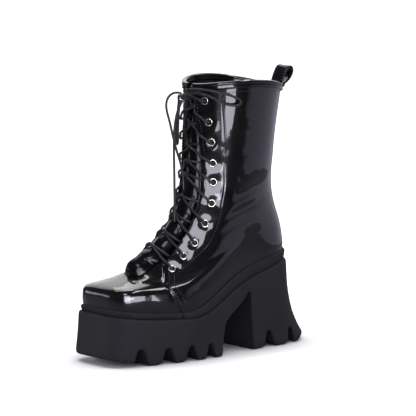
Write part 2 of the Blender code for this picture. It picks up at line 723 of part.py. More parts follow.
def make_eyelets():
    crest = (EYELET_RIM + EYELET_BORE) / 2
    profile = ((EYELET_RIM, 0.0), (crest, EYELET_TALL), (EYELET_BORE, 0.0))
    turns = np.arange(EYELET_TURNS) * 2 * pi / EYELET_TURNS
    rows = []
    for radius, up in profile:
        height = np.full(EYELET_TURNS, up)
        rows.append(np.column_stack([radius * np.cos(turns), radius * np.sin(turns), height]))
    points, faces = closed_strip_mesh(rows)
    for side, word in ((1, "outer"), (-1, "inner")):
        for number in range(len(EYELETS)):
            eyelet = make_object(f"eyelet_{word}_{number + 1}", points, faces, "eyelet_metal")
            centre, axis = eyelet_place(number, side)
            turn = Vector((0, 0, 1)).rotation_difference(Vector(axis))
            eyelet.matrix_world = Matrix.Translation(Vector(centre) * MM) @ turn.to_matrix().to_4x4()


# ---------------------------------------------------------------- the lace
LACE_SIDES = 5
# The lace between the top eyelets, under the knot.
TOP_BAR = (
    # x, y, z
    (12.6, -77.9, 278.4),
    (6.0, -79.4, 279.6),
    (0.0, -79.8, 279.9),
    (-6.0, -79.4, 279.6),
    (-12.6, -77.9, 278.4),
)
LACE_CLEAR = 1.9      # over smooth surfaces, clear of their flat facets
NARROW_CLEAR = 1.6    # more, where the throat is narrow, at its foot and its top
LACE_OVER = 0.4       # the inner eyelets' lace crosses this much higher than the other
LACE_RINGS = 10
# Level at which the two laces from a pair of eyelets cross: a taut lace takes the short way over
# the instep, so it climbs past the next eyelet and comes back down to it.
CROSS_LEVELS = (8.35, 9.5, 10.7, 11.8, 12.95, 13.6, 14.35, 15.3, 16.15)


def smooth_path(points, count):
    """Evenly spaced points on a Catmull-Rom curve through a route."""
    points = np.asarray(points, float)
    rows = np.linspace(0, len(points) - 1, 40 * len(points))
    fine = np.array([smooth_read(points, row) for row in rows])
    length = np.concatenate([[0], np.cumsum(np.linalg.norm(np.diff(fine, axis=0), axis=1))])
    at = np.linspace(0, length[-1], count)
    return np.column_stack([np.interp(at, length, fine[:, k]) for k in range(3)])


def tube_points(path, radius, sides):
    """Rings round a path, each square to it and turned like the one before."""
    path = np.asarray(path, float)
    heading = path[1] - path[0]
    spoke = np.cross(heading, (0.3, 0.2, 1.0))
    points = []
    for k in range(len(path)):
        heading = path[min(k + 1, len(path) - 1)] - path[max(k - 1, 0)]
        heading /= np.linalg.norm(heading)
        spoke = spoke - heading * (spoke @ heading)
        spoke /= np.linalg.norm(spoke)
        other = np.cross(heading, spoke)
        for turn in np.arange(sides) * 2 * pi / sides:
            points.append(path[k] + radius * (cos(turn) * spoke + sin(turn) * other))
    return points


def crossing_route(number, side):
    """A lace from over an eyelet, across the tongue and under the other stay at the next eyelet up."""
    low_level, low_reach = EYELETS[number]
    high_level, high_reach = EYELETS[number + 1]
    radius = LACE / 2
    over_eyelet = STAY_STEP + EYELET_SEAT + EYELET_TALL + FIT + radius

    def at_reach(reach):
        start, whole = (low_level, low_reach) if reach > 0 else (high_level, high_reach)
        return start + (CROSS_LEVELS[number] - start) * (1 - abs(reach) / whole)

    narrow = NARROW_CLEAR if number in (0, len(EYELETS) - 2) else 0.0
    gap_near = throat(at_reach(low_reach / 2))[0]
    gap_far = throat(at_reach(-high_reach / 2))[0]
    stops = [
        (low_reach, over_eyelet),
        (low_reach - 6.0, over_eyelet - 0.2),
        (gap_near + 0.3, STAY_STEP + radius + LACE_CLEAR + narrow / 2),
    ]
    over_tongue = radius + LACE_CLEAR + narrow + (LACE_OVER if side < 0 else 0.0)
    tuck = 3.4 if number == 0 else 2.6
    for reach in (gap_near * 0.5, 0.0, -gap_far * 0.5):
        stops.append((reach, tongue_lift(at_reach(reach), abs(reach)) + over_tongue))
    stops += [
        (-(gap_far - tuck), -WALL - 2 * FIT - radius),
        (-(gap_far + 2.0), -WALL - 2 * FIT - radius - 0.1),
    ]
    route = []
    for reach, lift in stops:
        level = at_reach(reach)
        own_side = side if reach >= 0 else -side
        route.append(upper_point(level, abs(reach), own_side, lift))
    return route


def make_lace(name, route):
    path = smooth_path(route, LACE_RINGS)
    points = tube_points(path, LACE / 2, LACE_SIDES)
    return make_object(name, points, tube_faces(LACE_RINGS, LACE_SIDES), "lace_cord")


def make_crossings():
    last = len(EYELETS) - 1
    for number in range(last):
        first = make_lace(f"lace_crossing_{number + 1}", crossing_route(number, 1))
        second = make_lace("other_lace", crossing_route(number, -1))
        boolean(first, second, "UNION")
    over_eyelet = STAY_STEP + EYELET_SEAT + EYELET_TALL + FIT + LACE / 2
    level, reach = EYELETS[last]
    ends = [upper_point(level, reach, side, over_eyelet + FIT) for side in (1, -1)]
    make_lace(f"lace_crossing_{last + 1}", (ends[0], *TOP_BAR, ends[1]))


# Routes of the bow's cords, from the knot outwards. The outer loop lies on the outer
# stay, the inner one hangs over the inner stay, and the two ends hang in front of the shaft.
KNOT = ((-5.5, -82.9, 281.2), (-2.5, -84.0, 280.8), (0.5, -84.3, 280.4), (3.5, -84.0, 280.2),
        (6.5, -83.0, 280.4))
KNOT_RADIUS = 2.6
BOW_CORDS = {
    "bow_loop_outer": (
        (5.0, -84.2, 284.5), (11.8, -81.6, 285.6), (17.3, -79.0, 285.8), (24.1, -74.4, 284.0),
        (30.0, -69.2, 280.6), (36.3, -61.4, 275.4), (41.0, -52.4, 272.0), (44.2, -44.6, 272.0),
        (44.8, -41.6, 275.4), (43.6, -46.0, 279.4), (40.0, -54.6, 283.4), (34.6, -63.0, 286.2),
        (27.0, -70.8, 288.2), (18.6, -77.2, 289.4), (11.0, -81.9, 289.4), (3.0, -84.6, 287.6),
    ),
    "bow_loop_inner": (
        (-9.6, -83.6, 281.6), (-12.4, -82.6, 279.4), (-15.0, -80.4, 273.4), (-18.0, -79.6, 262.0),
        (-20.0, -79.2, 248.0), (-21.6, -78.8, 235.0), (-21.4, -79.2, 228.2), (-18.0, -80.6, 226.6),
        (-15.6, -81.4, 231.0), (-14.6, -82.0, 243.0), (-13.0, -82.6, 256.0), (-10.4, -83.4, 268.0),
        (-6.0, -84.6, 276.2),
    ),
    "lace_end_long": (
        (-2.0, -86.1, 283.8), (-3.6, -90.6, 285.2), (-4.8, -96.4, 284.8), (-5.8, -101.6, 281.2),
        (-6.0, -104.6, 274.6), (-5.4, -104.6, 266.4), (-4.2, -102.6, 257.0), (-3.0, -100.4, 246.0),
        (-1.6, -98.2, 234.0), (0.2, -95.4, 221.0), (2.4, -92.4, 208.0), (5.0, -91.4, 194.0),
        (7.4, -92.6, 181.0),
    ),
    "lace_end_short": (
        (-1.0, -85.9, 277.0), (-2.2, -89.2, 270.6), (-3.4, -92.2, 262.4), (-4.2, -94.2, 252.0),
        (-4.6, -95.4, 238.7), (-3.8, -96.6, 222.0), (-2.0, -97.9, 206.0), (0.0, -99.4, 190.0),
        (2.5, -101.4, 176.0), (5.5, -103.8, 162.0), (8.0, -106.4, 147.0),
    ),
}
CORD_STEP = 7.8       # between the points of a cord


def make_cord(name, route, radius):
    """A round cord as a curve with filled caps, through points read from a smooth curve."""
    length = np.sum(np.linalg.norm(np.diff(smooth_path(route, 200), axis=0), axis=1))
    path = smooth_path(route, round(length / CORD_STEP) + 1)
    curve = bpy.data.curves.new(name, "CURVE")
    curve.dimensions = "3D"
    curve.bevel_depth = radius * MM
    curve.bevel_resolution = 2
    curve.use_fill_caps = True
    spline = curve.splines.new("POLY")
    spline.points.add(len(path) - 1)
    for point, place in zip(spline.points, path):
        point.co = (*(place * MM), 1)
    curve.materials.append(material("lace_cord"))
    cord = bpy.data.objects.new(name, curve)
    bpy.context.scene.collection.objects.link(cord)
    return cord


def make_bow():
    make_cord("bow_knot", KNOT, KNOT_RADIUS)
    for name, route in BOW_CORDS.items():
        make_cord(name, route, LACE / 2)


def main():
    clear_scene()
    make_outsole()
    make_welt()
    make_upper()
    make_tongue()
    make_insole()
    make_binding()
    make_back_stay()
    make_pull_loop()
    make_eyelets()
    make_crossings()
    make_bow()


main()
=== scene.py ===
"""Looks of a platform lace-up boot for the left foot: patent upper, lugged unit, waxed lace.

Frame: metres, +Z up, toe along -Y, outer (lateral) side along +X. Tables are in millimetres.
"""

from math import cos, pi, radians, sin

import bmesh
import bpy
import numpy as np
from mathutils import Matrix, Vector


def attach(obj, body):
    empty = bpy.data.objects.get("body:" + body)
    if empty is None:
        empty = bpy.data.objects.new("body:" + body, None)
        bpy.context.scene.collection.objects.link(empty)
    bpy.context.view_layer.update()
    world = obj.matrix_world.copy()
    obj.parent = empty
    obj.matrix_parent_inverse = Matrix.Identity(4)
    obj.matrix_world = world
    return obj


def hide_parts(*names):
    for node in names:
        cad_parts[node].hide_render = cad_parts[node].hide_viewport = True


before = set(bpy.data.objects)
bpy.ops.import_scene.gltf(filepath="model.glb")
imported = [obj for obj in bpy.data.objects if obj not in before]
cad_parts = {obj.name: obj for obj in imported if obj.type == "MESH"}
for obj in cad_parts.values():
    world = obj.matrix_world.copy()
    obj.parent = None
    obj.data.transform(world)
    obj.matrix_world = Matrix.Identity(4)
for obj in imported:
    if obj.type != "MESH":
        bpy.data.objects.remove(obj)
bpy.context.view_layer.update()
MM = 0.001

# ---------------------------------------------------------------- camera, floor and studio lights
# A long lens looks at the outer front quarter from low down. The boot stands on a white paper
# sheet between soft boxes. Most of what the patent mirrors, which is windows, strips and cards,
# lights nothing else, so that the matt rubber keeps an even tone.


def add_object(name, data):
    """A new object in the scene."""
    obj = bpy.data.objects.new(name, data)
    bpy.context.scene.collection.objects.link(obj)
    return obj


def towards(azimuth, elevation):
    """Unit vector from the boot: azimuth 0 is in front of the toe and 90 at the outer side."""
    turn, rise = radians(azimuth), radians(elevation)
    return Vector((sin(turn) * cos(rise), -cos(turn) * cos(rise), sin(rise)))


AIM = Vector((0.0, -0.070, 0.150))
AZIMUTH, ELEVATION, ROLL = 51.4, 8.5, radians(-0.57)
CAMERA_AWAY = 5.0
back = towards(AZIMUTH, ELEVATION)
level_right = Vector((cos(radians(AZIMUTH)), sin(radians(AZIMUTH)), 0))
level_up = back.cross(level_right)
right = level_right * cos(ROLL) + level_up * sin(ROLL)
up = level_up * cos(ROLL) - level_right * sin(ROLL)
camera = add_object("camera", bpy.data.cameras.new("camera"))
camera.data.lens = 396.8
camera.data.shift_x, camera.data.shift_y = 0.0291, 0.0154
camera.data.clip_end = 50
turned = Matrix((right, up, back)).transposed().to_4x4()
camera.matrix_world = Matrix.Translation(AIM + back * CAMERA_AWAY) @ turned
bpy.context.scene.camera = camera
bpy.context.scene.view_settings.view_transform = "Standard"


def srgb(colour):
    """Linear colour, with alpha 1, of an sRGB hex."""
    parts = [int(colour[k:k + 2], 16) / 255 for k in (1, 3, 5)]
    return (*(c / 12.92 if c <= 0.04045 else ((c + 0.055) / 1.055) ** 2.4 for c in parts), 1)


def feed(node, inputs):
    """Links a node's inputs to sockets, or sets them to values."""
    for name, value in inputs.items():
        if isinstance(value, bpy.types.NodeSocket):
            node.id_data.links.new(value, node.inputs[name])
        else:
            node.inputs[name].default_value = value


def add_node(tree, kind, inputs=None, **settings):
    """The outputs of a new node with these settings and inputs."""
    node = tree.nodes.new("ShaderNode" + kind)
    for name, value in settings.items():
        setattr(node, name, value)
    feed(node, inputs or {})
    return node.outputs


def calc(tree, operation, *values):
    """The result of one step of arithmetic on sockets and numbers."""
    return add_node(tree, "Math", dict(enumerate(values)), operation=operation)[0]


def mix(tree, share, low, high):
    """A blend of two colours, which are hexes or sockets."""
    ends = [srgb(end) if isinstance(end, str) else end for end in (low, high)]
    return add_node(tree, "Mix", {"Factor": share, 6: ends[0], 7: ends[1]}, data_type="RGBA")[2]


def new_material(name):
    """An empty material, its tree and its shader."""
    made = bpy.data.materials.new(name)
    made.use_nodes = True
    return made, made.node_tree, made.node_tree.nodes["Principled BSDF"]


def facing(place, aim, front):
    """A matrix that stands a thing at a place, with its front turned to the aim."""
    return Matrix.Translation(place) @ (aim - place).to_track_quat(front, "Y").to_matrix().to_4x4()


def light_panel(name, azimuth, elevation, away, width, height, radiance,
                colour="#ffffff", aim=AIM, **seen_by):
    """A rectangular soft box that faces the boot, or a place on it, and stays out of the picture."""
    lamp = bpy.data.lights.new(name, "AREA")
    lamp.shape = "RECTANGLE"
    lamp.size, lamp.size_y = width, height
    lamp.color = srgb(colour)[:3]
    lamp.energy = radiance * pi * width * height
    box = add_object(name, lamp)
    box.visible_camera = False
    for ray, shown in seen_by.items():
        setattr(box, f"visible_{ray}", shown)
    box.matrix_world = facing(aim + towards(azimuth, elevation) * away, aim, "-Z")


WINDOW = "#f3f0ff"
TOE_SIDE = Vector((0.040, -0.178, 0.074))
MIRRORED = {"diffuse": False}      # a card that only the patent and the metal pick up
# azimuth, elevation, distance, width, height, radiance
light_panel("overhead_box", 20, 78, 2.4, 2.2, 1.8, 2.4, glossy=False)
light_panel("key_box", 50, 26, 3.0, 0.62, 2.2, 3.2, WINDOW, glossy=False)
light_panel("front_fill", -25, 14, 3.2, 1.6, 1.6, 5.0, glossy=False)
light_panel("rear_fill", 130, 20, 3.2, 2.0, 1.8, 2.8, glossy=False)
light_panel("front_card", -52, -6, 1.6, 0.9, 0.36, 2.3, **MIRRORED)
light_panel("overhead_strip", 160, 62, 2.5, 2.5, 0.25, 9.0, **MIRRORED)
light_panel("far_strip", -112, 60, 2.5, 1.6, 0.25, 6.0, **MIRRORED)
light_panel("low_window", 67, 8, 2.4, 1.45, 1.0, 9.0, WINDOW, **MIRRORED)
light_panel("high_window", 58, 42, 2.4, 0.75, 0.95, 9.0, WINDOW, **MIRRORED)
light_panel("side_card", 83, -1, 0.8, 0.29, 0.085, 9.0, WINDOW, **MIRRORED)
light_panel("toe_card", 83, 3, 0.12, 0.155, 0.042, 9.0, WINDOW, TOE_SIDE, **MIRRORED)
light_panel("backdrop", -132, 24, 3.6, 5.4, 3.6, 1.05)
light_panel("backdrop_top", -155, 49, 3.6, 4.4, 1.3, 1.7, **MIRRORED)


def soft_card(name, azimuth, elevation, away, width, height, radiance, soft_ends, soft_top, colour):
    """A white card that is lit to fade towards its ends and its top, and that only gloss picks up.

    soft_ends and soft_top are the shares of its width and height over which it fades."""
    bpy.ops.object.select_all(action="DESELECT")
    bpy.ops.mesh.primitive_plane_add(size=1)
    card = bpy.context.object
    card.name = name
    place = AIM + towards(azimuth, elevation) * away
    card.data.transform(facing(place, AIM, "Z") @ Matrix.Diagonal((width, height, 1, 1)))
    lit, tree, shader = new_material(f"{name}, white card")
    at = add_node(tree, "SeparateXYZ", {"Vector": add_node(tree, "TexCoord")["UV"]})
    ends = add_node(tree, "MapRange", {"Value": calc(tree, "PINGPONG", at["X"], 0.5), "From Max": soft_ends},
                    interpolation_type="SMOOTHSTEP")
    top = add_node(tree, "MapRange", {"Value": at["Y"], "From Min": 1.0, "From Max": 1.0 - soft_top},
                   interpolation_type="SMOOTHSTEP")
    strength = calc(tree, "MULTIPLY", calc(tree, "MULTIPLY", ends[0], top[0]), radiance)
    feed(shader, {"Base Color": srgb("#000000"), "Specular IOR Level": 0.0,
                  "Emission Color": srgb(colour), "Emission Strength": strength})
    card.data.materials.append(lit)
    card.visible_camera = card.visible_diffuse = card.visible_shadow = False


soft_card("rear_card", 162, -1, 0.78, 1.9, 0.56, 0.62, 0.16, 0.45, "#e9e8ff")

world = bpy.data.worlds.new("studio")
bpy.context.scene.world = world
world.use_nodes = True
tree = world.node_tree
seen = add_node(tree, "LightPath")
feed(tree.nodes["Background"], {"Color": mix(tree, seen["Is Camera Ray"], "#4a4a50", "#ffffff")})

SHEET_SIZE = 14
SHEET_DROP = 0.0003        # under the tread, so that the two faces don't fight
SHEET_PAINTED_FADE = 0.40, 0.95    # from the boot out, where a painted falloff turns its mirrored image from grey to dark
PAINTED_SHADOW_REACH = 0.07       # how far the painted contact shadow reaches from the tread
# how dark the painted contact shadow is: the power put on the occlusion
PAINTED_SHADOW_DEPTH = 3.0
# strength of the paper's painted glow, which only the camera sees
SHEET_GLOW = 0.67
bpy.ops.object.select_all(action="DESELECT")
bpy.ops.mesh.primitive_plane_add(size=SHEET_SIZE, location=(0, 0, -SHEET_DROP))
floor = bpy.context.object
floor.name = "floor"
floor.data.transform(floor.matrix_world)
floor.matrix_world = Matrix.Identity(4)
paper, tree, shader = new_material("white paper sheet, painted glow and shadow")
# Matt white paper, burnt out to white as it is seen by a painted glow that only the camera sees,
# with painted contact shadows: ambient occlusion dims that glow round the tread. The boot's gloss
# sees a painted falloff instead, mid grey near the boot and dark where the studio would fall off.
seen = add_node(tree, "LightPath")
gone = add_node(tree, "VectorMath", {0: add_node(tree, "TexCoord")["Object"]}, operation="LENGTH")
far = add_node(tree, "MapRange", {"Value": gone["Value"], "From Min": SHEET_PAINTED_FADE[0],
                                  "From Max": SHEET_PAINTED_FADE[1]})
# Painted falloff: what the gloss sees of the paper is painted darker further from the boot.
painted_falloff = mix(tree, far[0], "#8f8f98", "#2a2a2f")
# Painted contact shadow: ambient occlusion near the tread dims the painted glow.
near = add_node(tree, "AmbientOcclusion", {"Distance": PAINTED_SHADOW_REACH}, samples=8)
lit = calc(tree, "MULTIPLY", calc(tree, "POWER", near["AO"], PAINTED_SHADOW_DEPTH), SHEET_GLOW)
feed(shader, {"Roughness": 0.9, "Base Color": mix(tree, seen["Is Glossy Ray"], "#f4f4f6", painted_falloff),
              "Emission Color": srgb("#ffffff"),
              "Emission Strength": calc(tree, "MULTIPLY", seen["Is Camera Ray"], lit)})
floor.data.materials.append(paper)

# ---------------------------------------------------------------- the bow
# The bow is the free part of one long lace: round braided cotton, waxed, with moulded tips. A
# square knot over the top eyelets holds two loops and two ends, and all of it hangs limp.
LACE = 2.6            # diameter
KNOT = (0.4, -83.6, 280.8)
KNOT_BAR = ((-8.5, -83.0, 281.4), (-4.4, -84.6, 281.2), (0.4, -85.0, 280.6), (4.6, -84.6, 281.8),
            (7.6, -83.2, 284.0))
# Each free run: its whole length in metres, and its route from the knot on.
BOW_LOOPS = {
    "bow_loop_outer": (0.132, (
        (5.0, -84.2, 284.5), (11.8, -81.6, 285.6), (17.3, -79.0, 285.8), (24.1, -74.4, 284.0),
        (30.0, -69.2, 280.6), (36.3, -61.4, 275.4), (41.0, -52.4, 272.0), (44.2, -44.6, 272.0),
        (44.8, -41.6, 275.4), (43.6, -46.0, 279.4), (40.0, -54.6, 283.4), (34.6, -63.0, 286.2),
        (27.0, -70.8, 288.2), (18.6, -77.2, 289.4), (11.0, -81.9, 289.4), (3.0, -84.6, 287.6))),
    "bow_loop_inner": (0.113, (
        (-9.6, -83.6, 281.6), (-12.4, -82.6, 279.4), (-15.0, -80.4, 273.4), (-18.0, -79.6, 262.0),
        (-20.0, -79.2, 248.0), (-21.6, -78.8, 235.0), (-21.4, -79.2, 228.2), (-18.0, -80.6, 226.6),
        (-15.6, -81.4, 231.0), (-14.6, -82.0, 243.0), (-13.0, -82.6, 256.0), (-10.4, -83.4, 268.0),
        (-6.0, -84.6, 276.2))),
}
BOW_ENDS = {
    "lace_end_long": (0.121, (
        (-2.0, -86.1, 283.8), (-3.6, -90.6, 285.2), (-4.8, -96.4, 284.8), (-5.8, -101.6, 281.2),
        (-6.0, -104.6, 274.6), (-5.4, -104.6, 266.4), (-4.2, -102.6, 257.0), (-3.0, -100.4, 246.0),
        (-1.6, -98.2, 234.0), (0.2, -95.4, 221.0), (2.4, -92.4, 208.0), (5.0, -91.4, 194.0),
        (7.4, -92.6, 181.0))),
    "lace_end_short": (0.134, (
        (-1.0, -85.9, 277.0), (-2.2, -89.2, 270.6), (-3.4, -92.2, 262.4), (-4.2, -94.2, 252.0),
        (-4.6, -95.4, 238.7), (-3.8, -96.6, 222.0), (-2.0, -97.9, 206.0), (0.0, -99.4, 190.0),
        (2.5, -101.4, 176.0), (5.5, -103.8, 162.0), (8.0, -106.4, 147.0))),
}
TIP = 9.0             # length of a moulded tip
TIP_RADIUS = 0.54     # of the lace's diameter, as the film goes over it
TIP_BACK = 0.46       # its middle lies this share of its length back from the lace's end
TIP_DOME, TIP_RISE = 0.35, 1.06             # inset of each end's middle, and how far it stands out
BRAID_STRANDS = 6     # round the lace
BRAID_PITCH = 5       # crossings in one round of length

waxed_cotton, tree, shader = new_material("waxed braided cotton")
# Braided cotton dressed with wax: near black, a grey satin sheen and a fine chevron of strands,
# with painted shade: the colour is darker in the valleys between strands and lighter on their crests.
across = add_node(tree, "SeparateXYZ", {"Vector": add_node(tree, "TexCoord")["UV"]})
strands = []
for way in (1, -1):
    along_it = calc(tree, "MULTIPLY", across["Y"], 2 * pi * BRAID_PITCH * way)
    round_it = calc(tree, "MULTIPLY_ADD", across["X"], 2 * pi * BRAID_STRANDS, along_it)
    strands.append(calc(tree, "SINE", round_it))
braid = calc(tree, "MAXIMUM", *strands)
bump = add_node(tree, "Bump", {"Height": braid, "Strength": 0.5, "Distance": 0.0002})
# Painted shade: the braid's height makes the valleys darker and the crests lighter.
painted_strand_shade = add_node(tree, "MapRange", {"Value": braid, "From Min": -0.6, "From Max": 1.0})
feed(shader, {"Base Color": mix(tree, painted_strand_shade[0], "#09090b", "#1b1b1f"), "Normal": bump[0],
              "Roughness": 0.42, "Sheen Weight": 0.25, "Sheen Roughness": 0.4})


def hermite(t, start, end, leaving, arriving):
    """The cubic from start to end that has these slopes at them, read at shares t of the way."""
    return ((2 * t**3 - 3 * t**2 + 1) * start + (t**3 - 2 * t**2 + t) * leaving
            + (-2 * t**3 + 3 * t**2) * end + (t**3 - t**2) * arriving)


def run_length(points):
    """How far along a run of points each of them lies."""
    return np.concatenate([[0], np.cumsum(np.linalg.norm(np.diff(points, axis=0), axis=1))])


def read_run(at, length, points):
    """Points at given lengths along a run."""
    return np.column_stack([np.interp(at, length, points[:, k]) for k in range(3)])


def smooth_run(route, step):
    """Evenly spaced points on a Catmull-Rom curve through a route."""
    route = np.asarray(route, float)
    padded = np.vstack([2 * route[0] - route[1], route, 2 * route[-1] - route[-2]])
    t = np.linspace(0, 1, 24, endpoint=False)[:, None]
    fine = [hermite(t, a, b, (b - before) / 2, (after - a) / 2)
            for before, a, b, after in zip(padded, padded[1:], padded[2:], padded[3:])]
    fine = np.vstack([*fine, route[-1:]])
    length = run_length(fine)
    return read_run(np.linspace(0, length[-1], max(round(length[-1] / step), 2) + 1), length, fine)


def new_piece(name, points, faces, *materials, sharp=None):
    """A named object from points in millimetres and faces, smooth up to the sharp angle."""
    mesh = bpy.data.meshes.new(name)
    points = (np.asarray(points, float) * MM).tolist()
    mesh.from_pydata(points, [], [[int(corner) for corner in face] for face in faces])
    mesh.update()
    for finish in materials:
        mesh.materials.append(finish)
    mesh.shade_smooth()
    if sharp:
        mesh.set_sharp_from_angle(angle=radians(sharp))
    return add_object(name, mesh)


def grid_faces(rows, columns, wrap=False, start=0):
    """Quads of a grid of points numbered row by row; wrap joins the last column to the first."""
    first = np.arange(rows - 1)[:, None] * columns
    here = np.arange(columns if wrap else columns - 1)[None, :]
    there = (here + 1) % columns
    quads = np.stack([first + here, first + there, first + columns + there, first + columns + here], axis=-1)
    return (quads.reshape(-1, 4) + start).tolist()


def tube_faces(rings, sides):
    """Faces of a tube of rings: its wall and the cap at each end."""
    last = (rings - 1) * sides
    return grid_faces(rings, sides, wrap=True) + [list(range(sides))[::-1], list(range(last, last + sides))]


def units(vectors):
    """Each of these rows made one long."""
    return vectors / np.linalg.norm(vectors, axis=1)[:, None]


def headings(path):
    """Unit vectors along a path, one at each of its points."""
    return units(np.gradient(path, axis=0))


CORD_SIDES = 12
CORD_STEP = 1.0       # between the rings of a hanging cord


def lace_tube(name, path):
    """A piece of lace along a path, with softly rounded ends and a map round and along it."""
    path = np.asarray(path, float)
    heading, radius, sides = headings(path), LACE / 2, CORD_SIDES
    spoke = np.cross(heading[0], (0.3, 0.2, 1.0))
    turns = np.arange(sides) * 2 * pi / sides
    shrink = np.ones(len(path))
    shrink[0] = shrink[-1] = 0.55
    shrink[1] = shrink[-2] = 0.92
    rings = []
    for k in range(len(path)):
        spoke = spoke - heading[k] * (spoke @ heading[k])
        spoke /= np.linalg.norm(spoke)
        other = np.cross(heading[k], spoke)
        rings.append(path[k] + radius * shrink[k] * (np.cos(turns)[:, None] * spoke
                                                     + np.sin(turns)[:, None] * other))
    obj = new_piece(name, np.vstack(rings), tube_faces(len(path), sides), waxed_cotton)
    length = run_length(path) / (2 * pi * radius)
    uv_map = obj.data.uv_layers.new(name="lace_run")
    for face in obj.data.polygons:
        used = [vertex % sides for vertex in face.vertices]
        closing = len(used) == 4 and max(used) - min(used) > 1
        for loop, vertex in zip(face.loop_indices, face.vertices):
            ring, column = divmod(vertex, sides)
            uv_map.data[loop].uv = ((column or (sides if closing else 0)) / sides, length[ring])
    return obj


def select(*objects):
    """Selects these objects alone; the first of them is the active one."""
    bpy.ops.object.select_all(action="DESELECT")
    for obj in objects:
        obj.select_set(True)
    bpy.context.view_layer.objects.active = objects[0]


def moulded_tip(name, end, heading):
    """A tip of black film, shrunk on the end of the lace, with its two ends a little domed."""
    bpy.ops.object.select_all(action="DESELECT")
    bpy.ops.mesh.primitive_cylinder_add(vertices=16, radius=LACE * TIP_RADIUS * MM, depth=TIP * MM)
    tip = bpy.context.object
    tip.name = name
    bpy.ops.object.mode_set(mode="EDIT")
    bpy.ops.mesh.select_all(action="DESELECT")
    bpy.ops.object.mode_set(mode="OBJECT")
    for face in tip.data.polygons:
        face.select = abs(face.normal.z) > 0.9
    bpy.ops.object.mode_set(mode="EDIT")
    bpy.ops.mesh.select_mode(type="FACE")
    bpy.ops.mesh.inset(thickness=TIP_DOME * MM)
    bpy.ops.transform.resize(value=(1, 1, TIP_RISE), center_override=(0, 0, 0))
    bpy.ops.object.mode_set(mode="OBJECT")
    bpy.ops.object.shade_smooth_by_angle(angle=radians(50))
    turn = Vector((0, 0, 1)).rotation_difference(Vector(heading)).to_matrix().to_4x4()
    tip.data.transform(Matrix.Translation(Vector(end) * MM) @ turn)
    tip.data.materials.append(tip_plastic)
    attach(tip, "root")
    return tip


def patterned(name, inputs, bumps, tint=None, gloss=None):
    """A material with patterns that lie over the object: noise, or another kind of texture.

    inputs of its shader; bumps as (pattern, strength, distance), each on the one before; tint as
    (pattern, dark, light); gloss as (pattern, lowest roughness, highest roughness)."""
    made, tree, shader = new_material(name)
    place = add_node(tree, "TexCoord")["Object"]

    def laid(kind="TexNoise", **settings):
        return add_node(tree, kind, {"Vector": place, **settings})[0]

    feed(shader, inputs)
    normal = {}
    for pattern, strength, distance in bumps:
        bump = {"Height": laid(**pattern), "Strength": strength, "Distance": distance, **normal}
        normal = {"Normal": add_node(tree, "Bump", bump)[0]}
    feed(shader, normal)
    if "Coat Weight" in inputs:
        feed(shader, {"Coat Normal": normal["Normal"]})
    if tint:
        feed(shader, {"Base Color": mix(tree, laid(**tint[0]), *tint[1:])})
    if gloss:
        rough = {"Value": laid(**gloss[0]), "To Min": gloss[1], "To Max": gloss[2]}
        feed(shader, {"Roughness": add_node(tree, "MapRange", rough)[0]})
    return made


# Acetate film shrunk on with heat: black and glossy, faintly wavy.
tip_plastic = patterned("black acetate tip", {"Base Color": srgb("#0c0c0e"), "Roughness": 0.22},
                        bumps=((dict(Scale=700.0, Detail=1.0), 0.3, 0.0001),))

# The square knot: a hitch of two turns round the middle of the bow, over a flat crossing. Each
# turn is an oval round the crossing, shifted to its side and leaning.
turns = np.linspace(0, 2 * pi, 25)
knot_parts = []
for shift, lean in ((-1.7, 0.84), (1.5, -0.72)):
    turn = np.column_stack([shift + lean * np.cos(turns), 2.3 * np.sin(turns), 2.9 * np.cos(turns)])
    knot_parts.append(lace_tube("knot_turn", KNOT + turn))
knot_parts.append(lace_tube("knot_bar", smooth_run(KNOT_BAR, 0.9)))
select(*knot_parts)
bpy.ops.object.join()
knot = knot_parts[0]
knot.name = "square_knot"
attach(knot, "root")
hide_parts("bow_knot")

for name, (length, route) in BOW_LOOPS.items():
    path = smooth_run(route, CORD_STEP)
    loop = lace_tube(name + "_lace", path)
    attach(loop, "root")
    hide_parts(name)
for name, (length, route) in BOW_ENDS.items():
    path = smooth_run(route, CORD_STEP)
    end = lace_tube(name + "_lace", path)
    heading = (path[-1] - path[-4]) / np.linalg.norm(path[-1] - path[-4])
    tip = moulded_tip(name + "_tip", path[-1] - heading * TIP * TIP_BACK, heading)
    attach(end, "root")
    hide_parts(name)

# ---------------------------------------------------------------- the upper
# One closed boot of coated leather: a plain square-toed vamp, high quarters over it, and a lacing
# stay on each side. The coat is a clear glassy film; a smooth dark lining is glued behind it.
WALL = 2.4            # leather with its lining
STAY_STEP = 0.8       # the stays lie this much over the quarter
VAMP_STEP = -0.8      # the vamp lies this much under the quarter
THROAT_FOOT = 5.8     # level at which the throat begins
THROAT_ROUND = 0.3    # levels that its round foot takes
FOOT_GAP = 15.0       # half the gap over the round foot
STAY_FOOT = 7.2       # level at which the stays' front edge ends, over the vamp
VAMP_TUCK = 0.9       # the vamp is drawn in this far where it goes under the quarter's edge
VAMP_TUCK_HALF = 1.8
STAY_END = 4.7        # level at which the stays end behind the seam
END_RUN = 0.03        # levels over which a panel's end rises
LIP_DROP, LIP_RUN = 0.55, 0.9               # how the leather is turned down at the throat's edge
